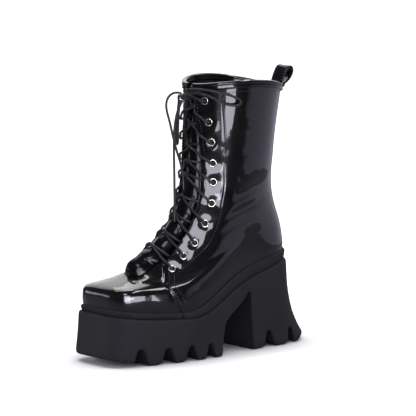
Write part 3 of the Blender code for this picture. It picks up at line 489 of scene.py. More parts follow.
# Rings from the edge on the sole up to the collar, as in the part's own tables: ends on the middle
# line, half widths at toe, ball, waist and heel, round ends, squareness, how flat and how crested.
RINGS = (
    # front_y, front_z, back_y, back_z, toe, ball, waist, heel, nose, square, tail, planar, crest
    (-202, 54.5, 42.5, 92.8, 42.0, 46.0, 36.0, 31.0, 0.15, 4.0, 0.17, 0.00, 0.0),
    (-204, 65.5, 44.5, 107., 43.0, 47.5, 37.5, 32.5, 0.15, 4.0, 0.17, 0.00, 0.0),
    (-204, 77.0, 44.0, 117., 42.6, 47.0, 38.0, 33.0, 0.15, 3.9, 0.18, 0.00, 0.8),
    (-200, 83.6, 42.5, 127., 39.5, 44.8, 38.0, 33.0, 0.15, 3.7, 0.19, 0.00, 1.6),
    (-189, 87.2, 40.5, 136., 32.0, 39.0, 37.5, 33.0, 0.18, 2.9, 0.21, 0.10, 0.8),
    (-175, 90.2, 38.0, 144., 29.0, 37.5, 37.0, 33.5, 0.20, 2.5, 0.24, 0.20, 0.0),
    (-161, 94.0, 35.2, 152., 28.0, 36.5, 36.5, 34.0, 0.24, 2.3, 0.28, 0.32, 0.0),
    (-146, 102., 33.0, 160., 28.0, 35.5, 36.0, 34.0, 0.28, 2.2, 0.32, 0.45, 0.0),
    (-131, 113., 31.5, 168., 28.0, 35.0, 35.5, 34.0, 0.33, 2.1, 0.37, 0.60, 0.0),
    (-117, 126., 30.7, 177., 30.0, 35.0, 35.0, 33.5, 0.39, 2.0, 0.43, 0.75, 0.0),
    (-104, 141., 30.8, 187., 33.0, 35.0, 35.0, 33.5, 0.45, 2.0, 0.48, 0.88, 0.0),
    (-94., 158., 31.4, 198., 35.0, 35.5, 35.5, 34.5, 0.49, 2.0, 0.50, 1.00, 0.0),
    (-87., 177., 32.2, 210., 36.5, 36.5, 36.5, 36.0, 0.50, 2.0, 0.50, 1.00, 0.0),
    (-83., 198., 33.0, 223., 37.5, 37.5, 37.5, 37.5, 0.50, 2.0, 0.50, 1.00, 0.0),
    (-80.5, 220., 34.5, 237., 38.8, 38.8, 38.8, 38.8, 0.50, 2.0, 0.50, 1.00, 0.4),
    (-78.8, 243., 36.8, 253., 40.4, 40.4, 40.4, 40.4, 0.50, 2.0, 0.50, 1.00, 1.8),
    (-77.2, 267., 39.4, 268., 42.0, 42.0, 42.0, 42.0, 0.50, 2.0, 0.50, 1.00, 4.4),
    (-76.0, 291.5, 42.0, 282., 43.5, 43.5, 43.5, 43.5, 0.50, 2.0, 0.50, 1.00, 7.5),
)
TOP = len(RINGS) - 1
WIDTH_SHARES = (0.0, 0.12, 0.32, 0.62, 0.86, 1.0)
# By level: half the gap between the stays, where the quarter's front edge crosses the vamp, and
# the stay's rear edge, both measured round the ring from the front middle line.
THROAT = np.array((
    # level, gap, seam, stay
    (0.0, 0.0, 110.0, 128.0), (1.8, 0.0, 101.6, 118.0), (2.9, 0.0, 90.0, 106.0),
    (3.4, 0.0, 81.0, 96.0), (4.0, 0.0, 72.0, 83.0), (5.2, 0.0, 54.0, 71.0),
    (THROAT_FOOT, 0.0, 46.0, 69.8), (6.1, FOOT_GAP, 42.0, 71.0), (6.5, 17.0, 36.5, 76.5),
    (6.9, 16.8, 31.5, 81.0), (7.1, 18.0, 28.5, 82.0), (7.25, 23.5, 28.5, 82.0), (7.4, 26.0, 31.0, 81.0),
    (8.6, 25.0, 32.0, 72.5), (9.7, 24.5, 31.0, 63.0), (10.7, 24.2, 31.0, 56.0),
    (12.0, 22.2, 29.0, 51.0), (12.8, 20.5, 28.0, 48.0), (14.9, 13.0, 22.0, 44.0),
    (16.1, 6.8, 18.0, 41.0), (17.0, 4.0, 16.0, 39.0)))
# The eyelets of each stay, from the lowest up: level and reach.
EYELETS = ((6.19, 47.0), (7.20, 47.2), (8.06, 49.0), (9.53, 44.4), (10.99, 39.2), (12.31, 34.2),
           (13.35, 31.1), (14.43, 28.0), (15.38, 24.2), (16.35, 18.7))
# The sole's top edge along the boot and the height of the welt band over it, the line that the
# rings follow over the band, and how far the middle line sways sideways.
SOLE = np.array((
    # y, ledge, band, last, sway
    (-215, 55.8, 8.2, 52.6, -4.0), (-200, 54.2, 7.4, 51.6, -4.0), (-180, 51.2, 6.8, 50.1, -3.6),
    (-150, 48.4, 6.5, 48.7, -2.0), (-120, 46.3, 7.2, 50.2, 0.3), (-105, 46.6, 9.4, 54.3, 1.1),
    (-90., 50.6, 11.4, 60.7, 1.8), (-60., 64.8, 13.4, 75.2, 2.4), (-27., 78.6, 13.2, 88.9, 1.6),
    (5.0, 87.0, 11.4, 94.2, 0.1), (25.0, 91.2, 11.0, 95.2, 0.0), (60.0, 92.9, 11.0, 95.5, 0.0)))
# Where the boot has flexed: soft troughs and the ridges beside them, by (level, reach), with half
# width and height. The inner side has the same ones a little shifted.
CREASES = (
    # height, half width, (level, reach) along it
    (-0.9, 6.0, ((8.75, 62), (8.95, 84), (8.75, 112), (8.2, 146))),
    (0.7, 6.0, ((9.35, 66), (9.62, 88), (9.45, 116), (8.9, 150))),
    (0.5, 6.5, ((8.0, 74), (8.15, 98), (7.85, 128), (7.2, 160))),
    (-0.6, 7.0, ((7.3, 92), (7.4, 112), (7.0, 142), (6.4, 168))),
    (0.6, 6.0, ((6.5, 100), (6.5, 124), (6.1, 150), (5.6, 186))),
    (-0.8, 7.0, ((10.3, 70), (10.6, 98), (10.4, 124))),
    (-0.5, 2.4, ((4.81, 20.8), (4.5, 28.0), (4.37, 31.5))),
    (-0.3, 2.8, ((4.32, 36.0), (4.1, 45.0), (3.86, 53.0))),
)
SEAM_DEEP, SEAM_HALF = 0.25, 1.1            # the stitches draw the leather in along their line
STAY_SEAM = 2.6                             # from the stay's rear edge to its stitches
STEP_RUN = (-0.6, -0.15, 0.08, 0.3, 0.75)   # across a folded edge, from the low side to the high one
STEP_SHARE = (0.0, 0.0, 0.5, 0.85, 1.0)


def bell(away, half):
    """1 in the middle, and falling off smoothly within about this half width."""
    return np.exp(-(away / half) ** 2)


def along(xs, ys, at):
    """A smooth monotone curve through (xs, ys), read at one or many places."""
    slopes = np.diff(ys) / np.diff(xs)
    tangents = np.concatenate([slopes[:1], np.zeros(len(xs) - 2), slopes[-1:]])
    both = slopes[:-1] * slopes[1:] > 0
    tangents[1:-1][both] = 2 / (1 / slopes[:-1][both] + 1 / slopes[1:][both])
    at = np.clip(np.asarray(at, float), xs[0], xs[-1])
    i = np.clip(np.searchsorted(xs, at, side="right") - 1, 0, len(xs) - 2)
    width = xs[i + 1] - xs[i]
    t = (at - xs[i]) / width
    return hermite(t, ys[i], ys[i + 1], width * tangents[i], width * tangents[i + 1])


def bent_rule(xs, ys):
    """A reader of a table along a springy rule bent through its points."""
    xs, ys = np.asarray(xs, float), np.asarray(ys, float)
    h, last = np.diff(xs), len(xs) - 1
    rows, drops = np.eye(last + 1), np.zeros_like(ys)
    for i in range(1, last):
        rows[i, i - 1:i + 2] = h[i - 1], 2 * (h[i - 1] + h[i]), h[i]
        drops[i] = 6 * ((ys[i + 1] - ys[i]) / h[i] - (ys[i] - ys[i - 1]) / h[i - 1])
    curve = np.linalg.solve(rows, drops)

    def read(at):
        i = np.clip(np.searchsorted(xs, at, side="right") - 1, 0, last - 1)
        a, b, w = at - xs[i], xs[i + 1] - at, h[i]
        return (curve[i] * b**3 + curve[i + 1] * a**3) / (6 * w) + (ys[i] / w - curve[i] * w / 6) * b + (
            ys[i + 1] / w - curve[i + 1] * w / 6) * a
    return read


ring_row = bent_rule(range(TOP + 1), RINGS)
ledge_row, band_row, last_row, sway_row = (bent_rule(SOLE[:, 0], SOLE[:, k]) for k in (1, 2, 3, 4))
RING_STEP = 0.5       # between the points of a ring
ROUND_POINTS, SIDE_POINTS = 160, 120        # before that, in each round end and in each straight side
NOSE_PINCH = 0.97     # the width at the very toe, as a share of the toe's
EASE = 5              # points over which a ring is eased
rings_made = {}


def seat_height(level, y):
    """The line that a ring follows: the sole's edge at level 0, and the last's own from level 1 up."""
    return ledge_row(y) + min(level, 1.0) * (last_row(y) - ledge_row(y))


def both_halves(level):
    """Points and lengths of the two halves of a ring, front to back, eased as leather is on its last."""
    key = round(level, 5)
    if key in rings_made:
        return rings_made[key]
    row = ring_row(level)
    front_y, front_z, back_y, back_z, toe, ball, waist, heel, nose, square, tail, planar, crest = row
    turn = np.linspace(0, pi / 2, ROUND_POINTS)
    at = np.concatenate([nose * (1 - np.cos(turn) ** (2 / square)),
                         np.linspace(nose, 1 - tail, SIDE_POINTS + 2)[1:-1], 1 - tail * (1 - np.sin(turn))])
    full = np.concatenate([np.sin(turn) ** (2 / square), np.ones(SIDE_POINTS), np.cos(turn)])
    full[0] = full[-1] = 0
    width = full * bent_rule(WIDTH_SHARES, (toe * NOSE_PINCH, toe, ball, waist, heel, heel))(at)
    y = front_y + at * (back_y - front_y)
    over_front, over_back = front_z - seat_height(level, front_y), back_z - seat_height(level, back_y)
    follow_z = seat_height(level, y) + over_front + at * (over_back - over_front)
    z = follow_z + planar * (front_z + at * (back_z - front_z) - follow_z) + crest * 4 * at * (1 - at)
    middle = sway_row(y) * (1 - planar * 0.8)
    loop = np.column_stack([middle + width, y, z])
    loop = np.vstack([loop, np.column_stack([middle - width, y, z])[-2:0:-1], loop[:1]])
    length = run_length(loop)
    half = length[len(y) - 1]
    counts = round(half / RING_STEP), round((length[-1] - half) / RING_STEP)
    places = np.concatenate([np.linspace(0, half, counts[0], endpoint=False),
                             np.linspace(half, length[-1], counts[1], endpoint=False)])
    even = read_run(places, length, loop)
    kernel = np.exp(-0.5 * (np.arange(-3 * EASE, 3 * EASE + 1) / EASE) ** 2)
    kernel /= kernel.sum()
    wrapped = np.vstack([even[-3 * EASE:], even, even[:3 * EASE]])
    even = np.column_stack([np.convolve(wrapped[:, k], kernel, mode="valid") for k in range(3)])
    made = {}
    for side, points in ((1, even[:counts[0] + 1]), (-1, np.vstack([even[counts[0]:], even[:1]])[::-1])):
        made[side] = points, run_length(points)
    rings_made[key] = made
    return made


def ring_length(level, side):
    """From the front middle line round one side to the back."""
    return both_halves(level)[side][1][-1]


def on_ring(level, reach, side):
    """Points of the plain surface at reaches from the front middle line, and on round past either end."""
    halves = both_halves(level)
    points, length = halves[side]
    others, other_length = halves[-side]
    full = length[-1]
    reach = np.atleast_1d(np.asarray(reach, float))
    here = read_run(reach, length, points)
    before = read_run(-reach, other_length, others)
    after = read_run(other_length[-1] - (reach - full), other_length, others)
    return np.where(reach[:, None] < 0, before, np.where(reach[:, None] > full, after, here))


def surface(level, reach, side):
    """Points of the plain surface and its outward normals at one level and many reaches."""
    d_level, d_reach = 0.08, 1.5
    reach = np.atleast_1d(np.asarray(reach, float))
    low, high = max(level - d_level, 0), min(level + d_level, TOP)
    share = reach / ring_length(level, side)
    rise = (on_ring(high, share * ring_length(high, side), side)
            - on_ring(low, share * ring_length(low, side), side))
    across = on_ring(level, reach + d_reach, side) - on_ring(level, reach - d_reach, side)
    return on_ring(level, reach, side), units(np.cross(across, rise) * side)


def upper_point(level, reach, side, lift=0.0):
    """One point over the plain surface."""
    points, normals = surface(level, reach, side)
    return points[0] + lift * normals[0]


def throat(level):
    """(half the gap, the seam's reach, the stay's reach) at a level."""
    gap, seam, stay = (float(along(THROAT[:, 0], THROAT[:, k], level)) for k in (1, 2, 3))
    share = (level - THROAT_FOOT) / THROAT_ROUND
    if 0 < share < 1:
        gap = FOOT_GAP * (1 - (1 - share) ** 2) ** 0.5
    return gap, seam, stay


def panel_lift(level, reach):
    """How far the outer face of the panels stands over the plain surface."""
    gap, seam, stay = throat(level)
    front = VAMP_STEP + (STAY_STEP - VAMP_STEP) * np.clip((level - STAY_FOOT) / END_RUN + 0.5, 0, 1)
    middle = STAY_STEP * np.clip((level - STAY_END) / END_RUN + 0.5, 0, 1)
    over_seam = np.interp(reach - seam, STEP_RUN, STEP_SHARE)
    over_stay = np.interp(stay - reach, STEP_RUN, STEP_SHARE)
    lift = (front + (middle - front) * over_seam) * over_stay
    if level < STAY_FOOT:
        lift = lift - VAMP_TUCK * bell(reach - seam + VAMP_TUCK_HALF, VAMP_TUCK_HALF)
    if level > THROAT_FOOT:
        lift = lift - LIP_DROP * np.clip(1 - (reach - gap) / LIP_RUN, 0, 1) ** 2
    if level > STAY_END:
        lift = lift - SEAM_DEEP * bell(reach - stay + STAY_SEAM, SEAM_HALF)
    return lift


VAMP_SPANS, STAY_SPANS, QUARTER_SPANS = 34, 26, 52
TOE_CORNER, CORNER_HALF, CORNER_TOP = 36, 14, 5   # reach and half width of the toe's corner, and its level
# Rows of the upper's grid: close ones over the throat's round foot and where a panel ends.
LEVELS = np.sort(np.concatenate([
    np.linspace(0, 5.7, 37),
    THROAT_FOOT + np.array((-0.04, -0.01, 0.004, 0.015, 0.035, 0.06, 0.1, 0.15, 0.2, 0.25)),
    np.linspace(6.1, 7.1, 14), STAY_FOOT + np.array((-0.06, -0.02, 0, 0.02, 0.06, 0.12)),
    np.linspace(7.4, 17, 124), (STAY_END - 0.02, STAY_END + 0.02)]))


def spread_columns(low, high, count, corner_weight=0):
    """count + 1 places from low to high, closer together round the toe's corner by its weight."""
    fine = np.linspace(low, high, 200)
    weight = 1 + corner_weight * bell(fine - TOE_CORNER, CORNER_HALF)
    total = np.concatenate([[0], np.cumsum((weight[1:] + weight[:-1]) / 2)])
    return np.interp(np.linspace(0, total[-1], count + 1), total, fine)


def upper_columns(level, side):
    """Reaches of a row's points from the throat to the back, with close ones across each edge."""
    gap, seam, stay = throat(level)
    vamp = spread_columns(gap, seam + STEP_RUN[0], VAMP_SPANS, 2.0 if level < CORNER_TOP else 0)
    lacing = spread_columns(seam + STEP_RUN[-1], stay - STEP_RUN[-1], STAY_SPANS)
    quarter = spread_columns(stay - STEP_RUN[0], ring_length(level, side), QUARTER_SPANS)
    edge = np.array(STEP_RUN[1:-1])
    return np.concatenate([vamp, seam + edge, lacing, stay - edge[::-1], quarter])


def near_route(points, route):
    """Distance from points to a route, and the share of the route where each is nearest."""
    best, share = np.full(len(points), 1e9), np.zeros(len(points))
    for k in range(len(route) - 1):
        a, b = route[k], route[k + 1]
        t = np.clip((points - a) @ (b - a) / ((b - a) @ (b - a)), 0, 1)
        gone = np.linalg.norm(points - (a + t[:, None] * (b - a)), axis=1)
        nearer = gone < best
        best[nearer], share[nearer] = gone[nearer], ((k + t) / (len(route) - 1))[nearer]
    return best, share


EYELET_DENT = 1.4     # the leather is drawn in this far round an eyelet
EYELET_DENT_HALF = 7.6
SHAFT_LEVEL = 14.0    # up from here the stay is stretched over the shaft, and its dents are small
SHAFT_DENT_HALF = 5.2
INNER_SHIFT = 0.22    # the inner side's creases lie this much higher
LINING_SHARE = 0.8    # of the outer's relief that shows in the lining


def relief(points, side):
    """Creases and the dents round the eyelets, as lift at points of the surface."""
    lift = np.zeros(len(points))
    for height, half, places in CREASES:
        shift = 0.0 if side > 0 or half < 4 else INNER_SHIFT
        route = smooth_run([upper_point(level + shift, reach, side) for level, reach in places], 6.0)
        gone, share = near_route(points, route)
        lift += height * bell(gone, half) * np.sin(np.clip(share, 0.02, 0.98) * pi) ** 0.5
    for level, reach in EYELETS:
        gone = np.linalg.norm(points - upper_point(level, reach, side), axis=1)
        lift -= EYELET_DENT * bell(gone, EYELET_DENT_HALF if level < SHAFT_LEVEL else SHAFT_DENT_HALF)
    return lift


EYELET_HOLE = 3.4     # radius cut in the stay, under the eyelet's rim

# Corrected leather under a poured film of clear polyurethane: deep black, glass-sharp, and gently
# wavy where the hide beneath is uneven. Faint dust of wear dulls the hide's own gloss.
HIDE = dict(Scale=90.0, Detail=4.0)
patent = patterned("patent leather, clear film over black",
                   {"Coat Weight": 1.0, "Coat Roughness": 0.02, "Specular IOR Level": 0.12},
                   bumps=((dict(Scale=38.0, Detail=1.5, Roughness=0.4), 0.22, 0.003),
                          (dict(Scale=620.0, Detail=2.0), 0.10, 0.00012)),
                   tint=(HIDE, "#08080a", "#121214"), gloss=(HIDE, 0.16, 0.30))
# Coated pigskin-type lining: dark, half matte, with fine pores.
lining = patterned("smooth black lining", {"Roughness": 0.38},
                   bumps=((dict(kind="TexVoronoi", Scale=900.0), 0.25, 0.0001),),
                   tint=(dict(Scale=60.0, Detail=3.0), "#141416", "#242427"))


def upper_grid():
    """Rows of points of the upper's two faces, from the throat round the back to the throat again."""
    outer, inner = [], []
    for level in LEVELS:
        halves = {}
        for side in (1, -1):
            reach = upper_columns(level, side)
            points, normals = surface(level, reach, side)
            shaped = relief(points, side)
            halves[side] = (points + (panel_lift(level, reach) + shaped)[:, None] * normals,
                            points + (shaped * LINING_SHARE - WALL)[:, None] * normals)
        for rows, k in ((outer, 0), (inner, 1)):
            rows.append(np.vstack([halves[1][k][:-1], halves[-1][k][::-1]]))
    return np.array(outer), np.array(inner)


def make_upper():
    """Both faces on one grid, joined at the edges and round each eyelet's hole."""
    outer, inner = upper_grid()
    rows, columns = outer.shape[:2]
    middle_of = (outer[:-1, :-1] + outer[1:, 1:]) / 2
    kept = np.ones((rows - 1, columns - 1), bool)
    for level, reach in EYELETS:
        for side in (1, -1):
            hole = upper_point(level, reach, side, STAY_STEP)
            kept &= np.linalg.norm(middle_of - hole, axis=-1) > EYELET_HOLE
    below = rows * columns
    number = np.arange(below).reshape(rows, columns)
    a, b, c, d = number[:-1, :-1], number[:-1, 1:], number[1:, 1:], number[1:, :-1]
    quads = np.stack([a, b, c, d], axis=-1)[kept]
    inside = (quads[:, ::-1] + below).tolist()
    rims, hole_edge = [], set()
    padded = np.pad(kept, 1, constant_values=False)
    for di, dj, first, second in ((-1, 0, a, b), (1, 0, c, d), (0, -1, d, a), (0, 1, b, c)):
        open_side = kept & ~padded[1 + di:rows + di, 1 + dj:columns + dj]
        for i, j in zip(*np.nonzero(open_side)):
            one, two = int(first[i, j]), int(second[i, j])
            if 0 <= i + di < rows - 1 and 0 <= j + dj < columns - 1:
                hole_edge |= {one, two, one + below, two + below}
            elif dj and LEVELS[i + 1] <= THROAT_FOOT + 1e-6:
                continue    # under the throat the grid's two ends meet
            rims.append((two, one, one + below, two + below))
    points = np.vstack([outer.reshape(-1, 3), inner.reshape(-1, 3)])
    hole_edge = np.array(sorted(hole_edge))
    for level, reach in EYELETS:
        for side in (1, -1):
            centre, axis = (found[0] for found in surface(level, reach, side))
            gone = points[hole_edge] - centre
            flat = gone - (gone @ axis)[:, None] * axis
            away = np.linalg.norm(flat, axis=1)
            near = (away < 2 * EYELET_HOLE) & (np.linalg.norm(gone, axis=1) < 3 * EYELET_HOLE)
            points[hole_edge[near]] += flat[near] * (EYELET_HOLE / away[near] - 1)[:, None]
    obj = new_piece("patent_upper", points, quads.tolist() + rims + inside, patent, lining)
    for face in obj.data.polygons[len(quads) + len(rims):]:
        face.material_index = 1
    work = bmesh.new()
    work.from_mesh(obj.data)
    bmesh.ops.remove_doubles(work, verts=work.verts, dist=0.00008)
    bmesh.ops.delete(work, geom=[v for v in work.verts if not v.link_faces], context="VERTS")
    work.to_mesh(obj.data)
    work.free()
    obj.data.set_sharp_from_angle(angle=radians(50))
    return obj


upper = make_upper()
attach(upper, "root")
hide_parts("upper")

# ---------------------------------------------------------------- the tongue
# A bellows tongue of the same patent, folded under the stays and sewn in at the throat. It swells
# between the laces, which press a trough across it at each crossing.
TONGUE_THICK = 2.0
LACE_SINK = 3.6       # the tongue is down at its full depth this far in from a stay's edge
LACED_LEVEL = 6.9     # below here no lace goes under the stays, and the tongue fills the throat
TONGUE = np.array((
    # level, half width, depth of its edges, swell of its middle
    (5.3, 15.0, 3.2, 0.0), (5.82, 20.0, 3.2, 0.6), (5.9, 22.0, 3.2, 6.0), (6.1, 24.0, 3.2, 11.5),
    (6.5, 28.0, 3.4, 15.4), (7.0, 32.0, 4.6, 16.2), (7.4, 35.0, 6.8, 17.4), (8.0, 38.0, 7.0, 15.2),
    (9.5, 37.0, 6.6, 10.8), (12.0, 34.0, 6.6, 6.4), (14.0, 27.0, 6.6, 4.6), (16.0, 20.0, 6.6, 2.0),
    (17.0, 17.0, 6.6, 1.4)))
# Level at which the two laces from a pair of eyelets cross: a taut lace takes the short way over
# the instep, so it climbs past the next eyelet and comes back down to it.
CROSS_LEVELS = (8.35, 9.5, 10.7, 11.8, 12.95, 13.6, 14.35, 15.3, 16.15)
LACE_PRESS = 1.3      # how far a crossing is pressed into the tongue
LACE_PRESS_HALF = 0.20
PRESS_FADE = 34       # the presses grow shallower upwards, and would be gone at this level
TONGUE_ROUND = 1.7    # how full the swell is across: 1 is a tent and 4 a cushion
TONGUE_COLUMNS = 27   # from the middle line to one edge
EDGE_RUN = 1.2        # over which the sheet thins to its edge
FOLDS = (
    # height, level at the outer edge, level at the inner edge, half width
    (-0.3, 7.05, 7.15, 0.25), (0.3, 7.55, 7.9, 0.22), (0.6, 8.7, 9.2, 0.20),
    (0.6, 9.85, 10.4, 0.20), (0.5, 11.1, 11.5, 0.2), (-0.4, 12.3, 12.5, 0.2))


def tongue_lift(level, reach):
    """Outer face of the tongue at reaches that are negative on the inner side."""
    sunk, bulge = (float(along(TONGUE[:, 0], TONGUE[:, k], level)) for k in (2, 3))
    sink = LACE_SINK * min(max((level - LACED_LEVEL) / 0.5, 0), 1)
    swell_half = max(throat(level)[0] - sink, 3.0)
    reach = np.asarray(reach, float)
    share = np.minimum(np.abs(reach) / swell_half, 1)
    swell = (1 - share**TONGUE_ROUND) ** 0.9
    lift = -sunk + bulge * swell
    for cross in CROSS_LEVELS:
        lift = lift - LACE_PRESS * swell * bell(level - cross, LACE_PRESS_HALF) * (1 - level / PRESS_FADE)
    for height, outer_at, inner_at, half in FOLDS:
        at = (outer_at + inner_at) / 2 + (outer_at - inner_at) / 2 * reach / swell_half
        lift = lift + height * swell * bell(level - at, half)
    return lift


tongue_levels = np.concatenate([np.linspace(5.3, 5.78, 5), np.linspace(5.8, 6.3, 30),
                                np.linspace(6.34, 12, 120), np.linspace(12.1, 16.9, 60)])
tongue_rows = {0.0: [], TONGUE_THICK: []}
for level in tongue_levels:
    wide = float(along(TONGUE[:, 0], TONGUE[:, 1], level))
    half_reach = np.linspace(0, wide, TONGUE_COLUMNS)
    for depth, rows in tongue_rows.items():
        sides = {}
        for side in (1, -1):
            points, normals = surface(level, half_reach, side)
            edge = np.clip(1 - (wide - half_reach) / EDGE_RUN, 0, 1) ** 2 * TONGUE_THICK / 2
            lift = tongue_lift(level, side * half_reach) - depth + (edge if depth else -edge)
            sides[side] = points + lift[:, None] * normals
        rows.append(np.vstack([sides[-1][:0:-1], sides[1]]))
columns = 2 * TONGUE_COLUMNS - 1
count = len(tongue_levels) * columns
faces = grid_faces(len(tongue_levels), columns)
faces += [face[::-1] for face in grid_faces(len(tongue_levels), columns, start=count)]
number = np.arange(count).reshape(-1, columns)
for run in (number[0], number[:, -1], number[-1, ::-1], number[::-1, 0]):
    faces += [(b, a, a + count, b + count) for a, b in zip(run, run[1:])]
supple = patent.copy()
supple.name = "patent leather, supple, thin film"
# The tongue's own skin is split thinner and its film is soft: what it mirrors is dim and blurred.
feed(supple.node_tree.nodes["Principled BSDF"], {"Coat Weight": 0.25, "Coat Roughness": 0.12})
points = np.vstack(tongue_rows[0.0] + tongue_rows[TONGUE_THICK])
tongue = new_piece("tongue_patent", points, faces, supple, sharp=60)
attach(tongue, "root")
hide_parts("tongue")

# ---------------------------------------------------------------- the eyelets
# Twenty nickel-plated brass eyelets, each drawn from sheet as a flanged barrel and rolled over a
# washer behind the stay. The plating is bright, with a faint warm cast.
EYELET_PROFILE = (
    # radius, height over the stay's outer face
    (2.75, -3.2), (2.75, -0.3), (2.85, 0.25), (3.05, 0.66), (3.35, 0.88), (3.7, 0.92), (4.1, 0.78),
    (4.38, 0.48), (4.48, 0.1), (4.4, -0.15), (3.15, -0.1), (3.0, -0.3), (3.0, -3.0), (3.2, -3.3),
    (3.9, -3.35), (4.1, -3.6), (3.8, -3.95), (3.3, -4.05), (2.9, -3.8))
EYELET_SEAT = STAY_STEP - EYELET_DENT + 0.15    # of the profile's zero, over the plain surface
EYELET_STEPS = 32
# Bright nickel over brass, barrel tumbled: a warm silver with soft swirls and fine scratches.
SWIRL = dict(Scale=500.0, Detail=3.0)
nickel = patterned("nickel-plated brass", {"Base Color": srgb("#d8d3c8"), "Metallic": 1.0},
                   bumps=((SWIRL, 0.2, 0.00006),), gloss=(SWIRL, 0.16, 0.34))

mesh = bpy.data.meshes.new("eyelet_profile")
mesh.from_pydata([(radius * MM, 0, height * MM) for radius, height in EYELET_PROFILE],
                 [(k, (k + 1) % len(EYELET_PROFILE)) for k in range(len(EYELET_PROFILE))], [])
eyelet_model = add_object("eyelet_model", mesh)
select(eyelet_model)
bpy.ops.object.mode_set(mode="EDIT")
bpy.ops.mesh.select_all(action="SELECT")
bpy.ops.mesh.spin(steps=EYELET_STEPS, angle=2 * pi, center=(0, 0, 0), axis=(0, 0, 1))
bpy.ops.mesh.select_all(action="SELECT")
bpy.ops.mesh.remove_doubles(threshold=0.00001)
bpy.ops.mesh.normals_make_consistent(inside=False)
bpy.ops.object.mode_set(mode="OBJECT")
bpy.ops.object.shade_smooth_by_angle(angle=radians(60))
mesh.materials.append(nickel)
for side, word in ((1, "outer"), (-1, "inner")):
    for number, (level, reach) in enumerate(EYELETS, 1):
        eyelet = add_object(f"nickel_eyelet_{word}_{number}", mesh.copy())
        seat = upper_point(level, reach, side, EYELET_SEAT)
        axis = surface(level, reach, side)[1][0]
        turn = Vector((0, 0, 1)).rotation_difference(Vector(axis)).to_matrix().to_4x4()
        eyelet.data.transform(Matrix.Translation(Vector(seat) * MM) @ turn)
        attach(eyelet, "root")
        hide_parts(f"eyelet_{word}_{number}")
bpy.data.objects.remove(eyelet_model)

# ---------------------------------------------------------------- the lacing
# One lace, rove from the bar under the throat: up through each eyelet, over the stay's edge, across
# the tongue and under the other stay to the next eyelet, where the two sides cross each time.
OVER_EYELET = STAY_STEP + 1.0 + LACE / 2      # lift of the lace's middle over an eyelet's rim
OVER_STAY = STAY_STEP + LACE / 2 + 0.35
UNDER_STAY = -WALL - 0.5 - LACE / 2
ON_TONGUE = LACE / 2 + 0.25
OVER_CROSSING = LACE * 0.95                   # added to the lace that lies on top where two cross
BOTTOM_BAR = ((0.0, 5.9, -7.9), (12.0, 5.9, -7.9), (24.0, 6.0, -7.6), (33.0, 6.1, -6.2))  # reach, level, lift
# Up through an eyelet: steps of reach from its middle, and lifts.
THROUGH_EYELET = ((-4.2, UNDER_STAY - 0.3), (-1.0, UNDER_STAY + 0.7), (0.3, -1.2), (-0.2, 1.2),
                  (-2.2, OVER_EYELET - 0.2))
# Across the tongue: shares of the half gap, and how far the lace that lies on top is raised there.
ACROSS = ((0.55, 0.35), (0.2, 0.9), (0.0, 1.0), (-0.2, 0.9), (-0.5, 0.3))
KNOT_END = ((14.5, -77.6, 279.0), (8.6, -79.8, 280.4), (2.6, -81.4, 280.9))


def lace_side(first_side):
    """Route of the half of the lace that starts in the lowest eyelet of one side."""
    side = first_side
    route = [upper_point(level, reach, side, lift) for reach, level, lift in BOTTOM_BAR]
    for number in range(len(EYELETS)):
        level, reach = EYELETS[number]
        route += [upper_point(level, reach + step, side, lift) for step, lift in THROUGH_EYELET]
        if number == len(EYELETS) - 1:
            break
        high_level, high_reach = EYELETS[number + 1]

        def level_at(at):
            """The lace climbs evenly from the eyelet to the crossing, and on to the next eyelet."""
            start, whole = (level, reach) if at > 0 else (high_level, high_reach)
            return start + (CROSS_LEVELS[number] - start) * (1 - abs(at) / whole)

        gap_near, gap_far = throat(level_at(reach / 2))[0], throat(level_at(-high_reach / 2))[0]
        over = OVER_CROSSING if first_side > 0 else 0.0
        stops = [(reach - 6.5, OVER_EYELET - 0.35), (gap_near + 1.2, OVER_STAY)]
        for part, share in ACROSS:
            at = part * (gap_near if part > 0 else gap_far)
            lift = float(tongue_lift(level_at(at), at * side)) + ON_TONGUE + over * share
            stops.append((at, max(lift, UNDER_STAY) if at > 0 else lift))
        stops += [(-(gap_far - 2.6), UNDER_STAY + 0.2), (-(gap_far + 2.5), UNDER_STAY)]
        route += [upper_point(level_at(at), abs(at), side if at >= 0 else -side, lift) for at, lift in stops]
        side = -side
    return route + [(side * x, y, z) for x, y, z in KNOT_END]


lace_route = lace_side(1)[::-1] + lace_side(-1)[1:]
lacing = lace_tube("lacing", smooth_run(lace_route, 0.95))
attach(lacing, "root")
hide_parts(*(f"lace_crossing_{number}" for number in range(1, 11)))

# ---------------------------------------------------------------- the platform unit
# One moulding of black rubber: a thick lugged platform and a flared block heel. It comes matt from
# the mould, with soft corners and a raised lip round its top edge.
SOLE_WALL = np.array((
    # share of the height from the ledge down, distance out, added at the toe, added at the back
    (0.00, 4.3, 0.0, 0.0), (0.02, 5.5, 0.3, 0.3), (0.30, 5.4, 1.8, 2.0), (0.60, 5.2, 3.8, 7.5),
    (0.85, 5.0, 5.8, 17.0), (0.95, 4.8, 6.4, 22.0), (1.00, 3.8, 5.4, 20.0)))
TREAD = np.array(((-215, 9.0), (-195, 6.0), (-172, 0.0), (40, 0.0), (64, 3.0)))  # y, height over the floor
